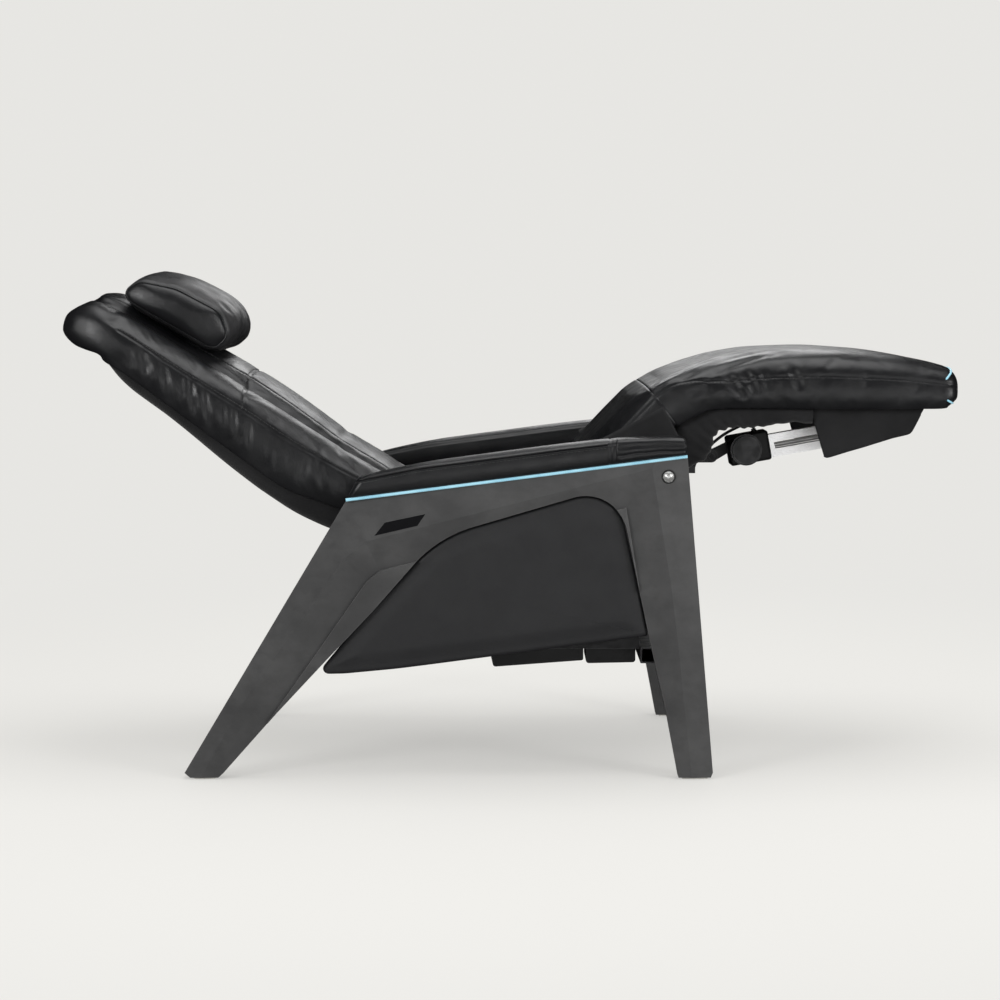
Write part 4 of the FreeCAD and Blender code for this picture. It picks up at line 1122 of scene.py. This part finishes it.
def seat_skirt(side, name, leather):
    """The cloth gusset over the seat's side, from under its front edge down behind the arm."""
    node = "seat_cushion"
    upper = softened(spots(node, (0.591, 0.671), (0.739, 0.766), (0.936, 0.893)), 30, 3)
    lower = softened(spots(node, (0.686, 0.37), (0.857, 0.515), (1.045, 0.636)), 30, 3)
    count = 14
    piece = strip(name + "_seat_gusset", at_y(upper, 0), at_y(lower, 0), count)
    co = coords(piece)
    surface = surface_of(leather)
    out = []
    for x, _, z in co:
        hit = surface.ray_cast(Vector((x, side * 0.5, z)), Vector((0, -side, 0)))[0]
        out.append(abs(hit.y) if hit and abs(hit.y) > 0.2 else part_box(node)[1].y)
    out = np.array(out).reshape(-1, count)
    for _ in range(12):
        near = np.pad(out, 1, mode="edge")
        out = np.maximum(out, (near[:-2, 1:-1] + near[2:, 1:-1] + near[1:-1, :-2] + near[1:-1, 2:]) / 4)
    u, t = np.meshgrid(even(len(out)), even(count), indexing="ij")
    wave = (1 + np.sin(u * 17 + 2 * t)) * 1.1 * MM * np.sin(math.pi * t)
    co[:, 1] = side * (out + 1.2 * MM + wave).ravel()
    place(piece, co)
    cloth_area, length = area_of(piece), lengths(upper)[-1]
    thicken(piece, 1.0 * MM)
    dress(piece, "cover_fabric")
    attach(piece, "seat")


def knee_sleeve(side, name):
    """The loose cloth tube over the knee hinge, gathered on the inside of the bend."""
    upright, level = "knee_sleeves", "legrest_sleeves"
    inside = np.concatenate([
        spots(upright, (0.58, 0.0), (1.14, 0.18), (1.37, 0.39), (1.37, 0.60)),
        spots(level, (0.04, -0.05), (0.15, 0.06), (0.38, 0.06), (0.80, 0.32), (1, 0.25))])
    outside = np.concatenate([spots(upright, (-0.02, 0.25), (0.36, 0.89), (0.79, 1.01)),
                              spots(level, (-0.08, 0.95), (0.14, 1.10), (0.55, 1.08), (1, 1.02))])
    inside, outside = softened(inside, 110, 6), softened(outside, 110, 4)
    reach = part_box(upright)[1].y + 1.5 * MM
    turn = np.linspace(0, 2 * math.pi, 44, endpoint=False)
    lift = (1 - np.sign(np.cos(turn)) * np.abs(np.cos(turn)) ** 0.7) / 2
    out = np.sign(np.sin(turn)) * np.abs(np.sin(turn)) ** 0.6
    rings = []
    for u, inner, outer in zip(even(110), inside, outside):
        gather = (1 - lift) * ease(1 - abs(u - 0.40) / 0.45)
        fold = gather * 2.4 * MM * np.sin(u * 96 + 1.2 * np.sin(turn) + 2.0 * lift)
        fold += 1.0 * MM * np.sin(u * 47 + 3 * lift + 2 * out)
        way = (inner - outer) / np.linalg.norm(inner - outer)
        flat = inner + (outer - inner) * lift[:, None] + way * (fold * (1 - lift))[:, None]
        rings.append(at_y(flat, side * (reach - SLEEVE_HALF + (SLEEVE_HALF + fold * 0.8) * out)))
    piece = ring_loft(name + "_knee_sleeve", np.array(rings), closed=False)
    subdivide(piece)
    cloth_area, length = area_of(piece), (lengths(inside)[-1] + lengths(outside)[-1]) / 2
    thicken(piece, 1.0 * MM)
    dress(piece, "cover_fabric")
    x, z = knee_axis()
    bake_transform(piece)


def leg_flap(side, name):
    """The cloth skirt that hangs from the leg rest and hides its actuator."""
    node = "legrest_flaps"
    y = side * (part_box(node)[1].y - 1.3 * MM)
    upper = spots(node, (0.0, 1.05), (1.0, 1.05))
    hem = edge_line(node, (0.12, 0.05), (0.90, 0.60), "lower")
    hem = softened(np.concatenate([hem, spots(node, (0.95, 0.85))]), 80, 2)
    count = 18

    def drape(u, t):
        wave = (np.sin(u * 14 + 2.2 * t) * 2.0 + np.sin(u * 31 - 3 * t) * 0.8) * MM * t
        wave += 2.2 * MM * np.exp(-((u - 0.55 + 0.5 * t) / 0.05) ** 2) * t * (1 - t) * 3
        return at_y(np.zeros((len(u), 2)), side * wave)

    piece = strip(name + "_leg_flap", at_y(upper, y), at_y(hem, y), count, drape)
    cloth_area, length = area_of(piece), lengths(upper)[-1]
    hem_line = coords(piece).reshape(-1, count, 3)[:, -1]
    thicken(piece, 1.1 * MM)
    hem_roll = tube(name + "_flap_hem", softened(hem_line, 120, 1), HEM_R)
    for item in (piece, hem_roll):
        dress(item, "cover_fabric")
        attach(item, "legrest")


# ---- cable ----
def motor_cable():
    """The leg rest motor's lead, from the clip on the seat frame over to the gearbox."""
    curve = bpy.data.curves.new("lead", "CURVE")
    curve.dimensions = "3D"
    curve.resolution_u = 12
    spline = curve.splines.new("NURBS")
    spline.points.add(len(CABLE_ROUTE) - 1)
    for point, stop in zip(spline.points, CABLE_ROUTE):
        point.co = (*stop, 1)
    spline.order_u = 3
    spline.use_endpoint_u = True
    bare = bpy.data.objects.new("lead", curve)
    mesh = bpy.data.meshes.new_from_object(bare)
    line = np.array([v.co for v in mesh.vertices])
    bpy.data.objects.remove(bare)
    piece = tube("motor_lead", line, CABLE_D / 2, 14)
    dress(piece, "cable_jacket")
    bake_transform(piece)
    float(lengths(line)[-1])
    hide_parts("motor_cable")


studio()
finish_nodes()
motor_cable()
back = back_cushion()
back_tape(back)
back_cover(back_lines()[0])
seat = seat_cushion()
leg = leg_cushion()
foot_piping(leg)
head_pillow()
for side, name in ((-1, "right"), (1, "left")):
    arm_rest(side, name)
    side_panel(side, name)
    seat_skirt(side, name, seat)
    knee_sleeve(side, name)
    leg_flap(side, name)
for stand_in, hidden in (("right_knee_sleeve", ("knee_sleeves", "legrest_sleeves")),
                         ("right_leg_flap", ("legrest_flaps",))):
    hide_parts(*hidden)
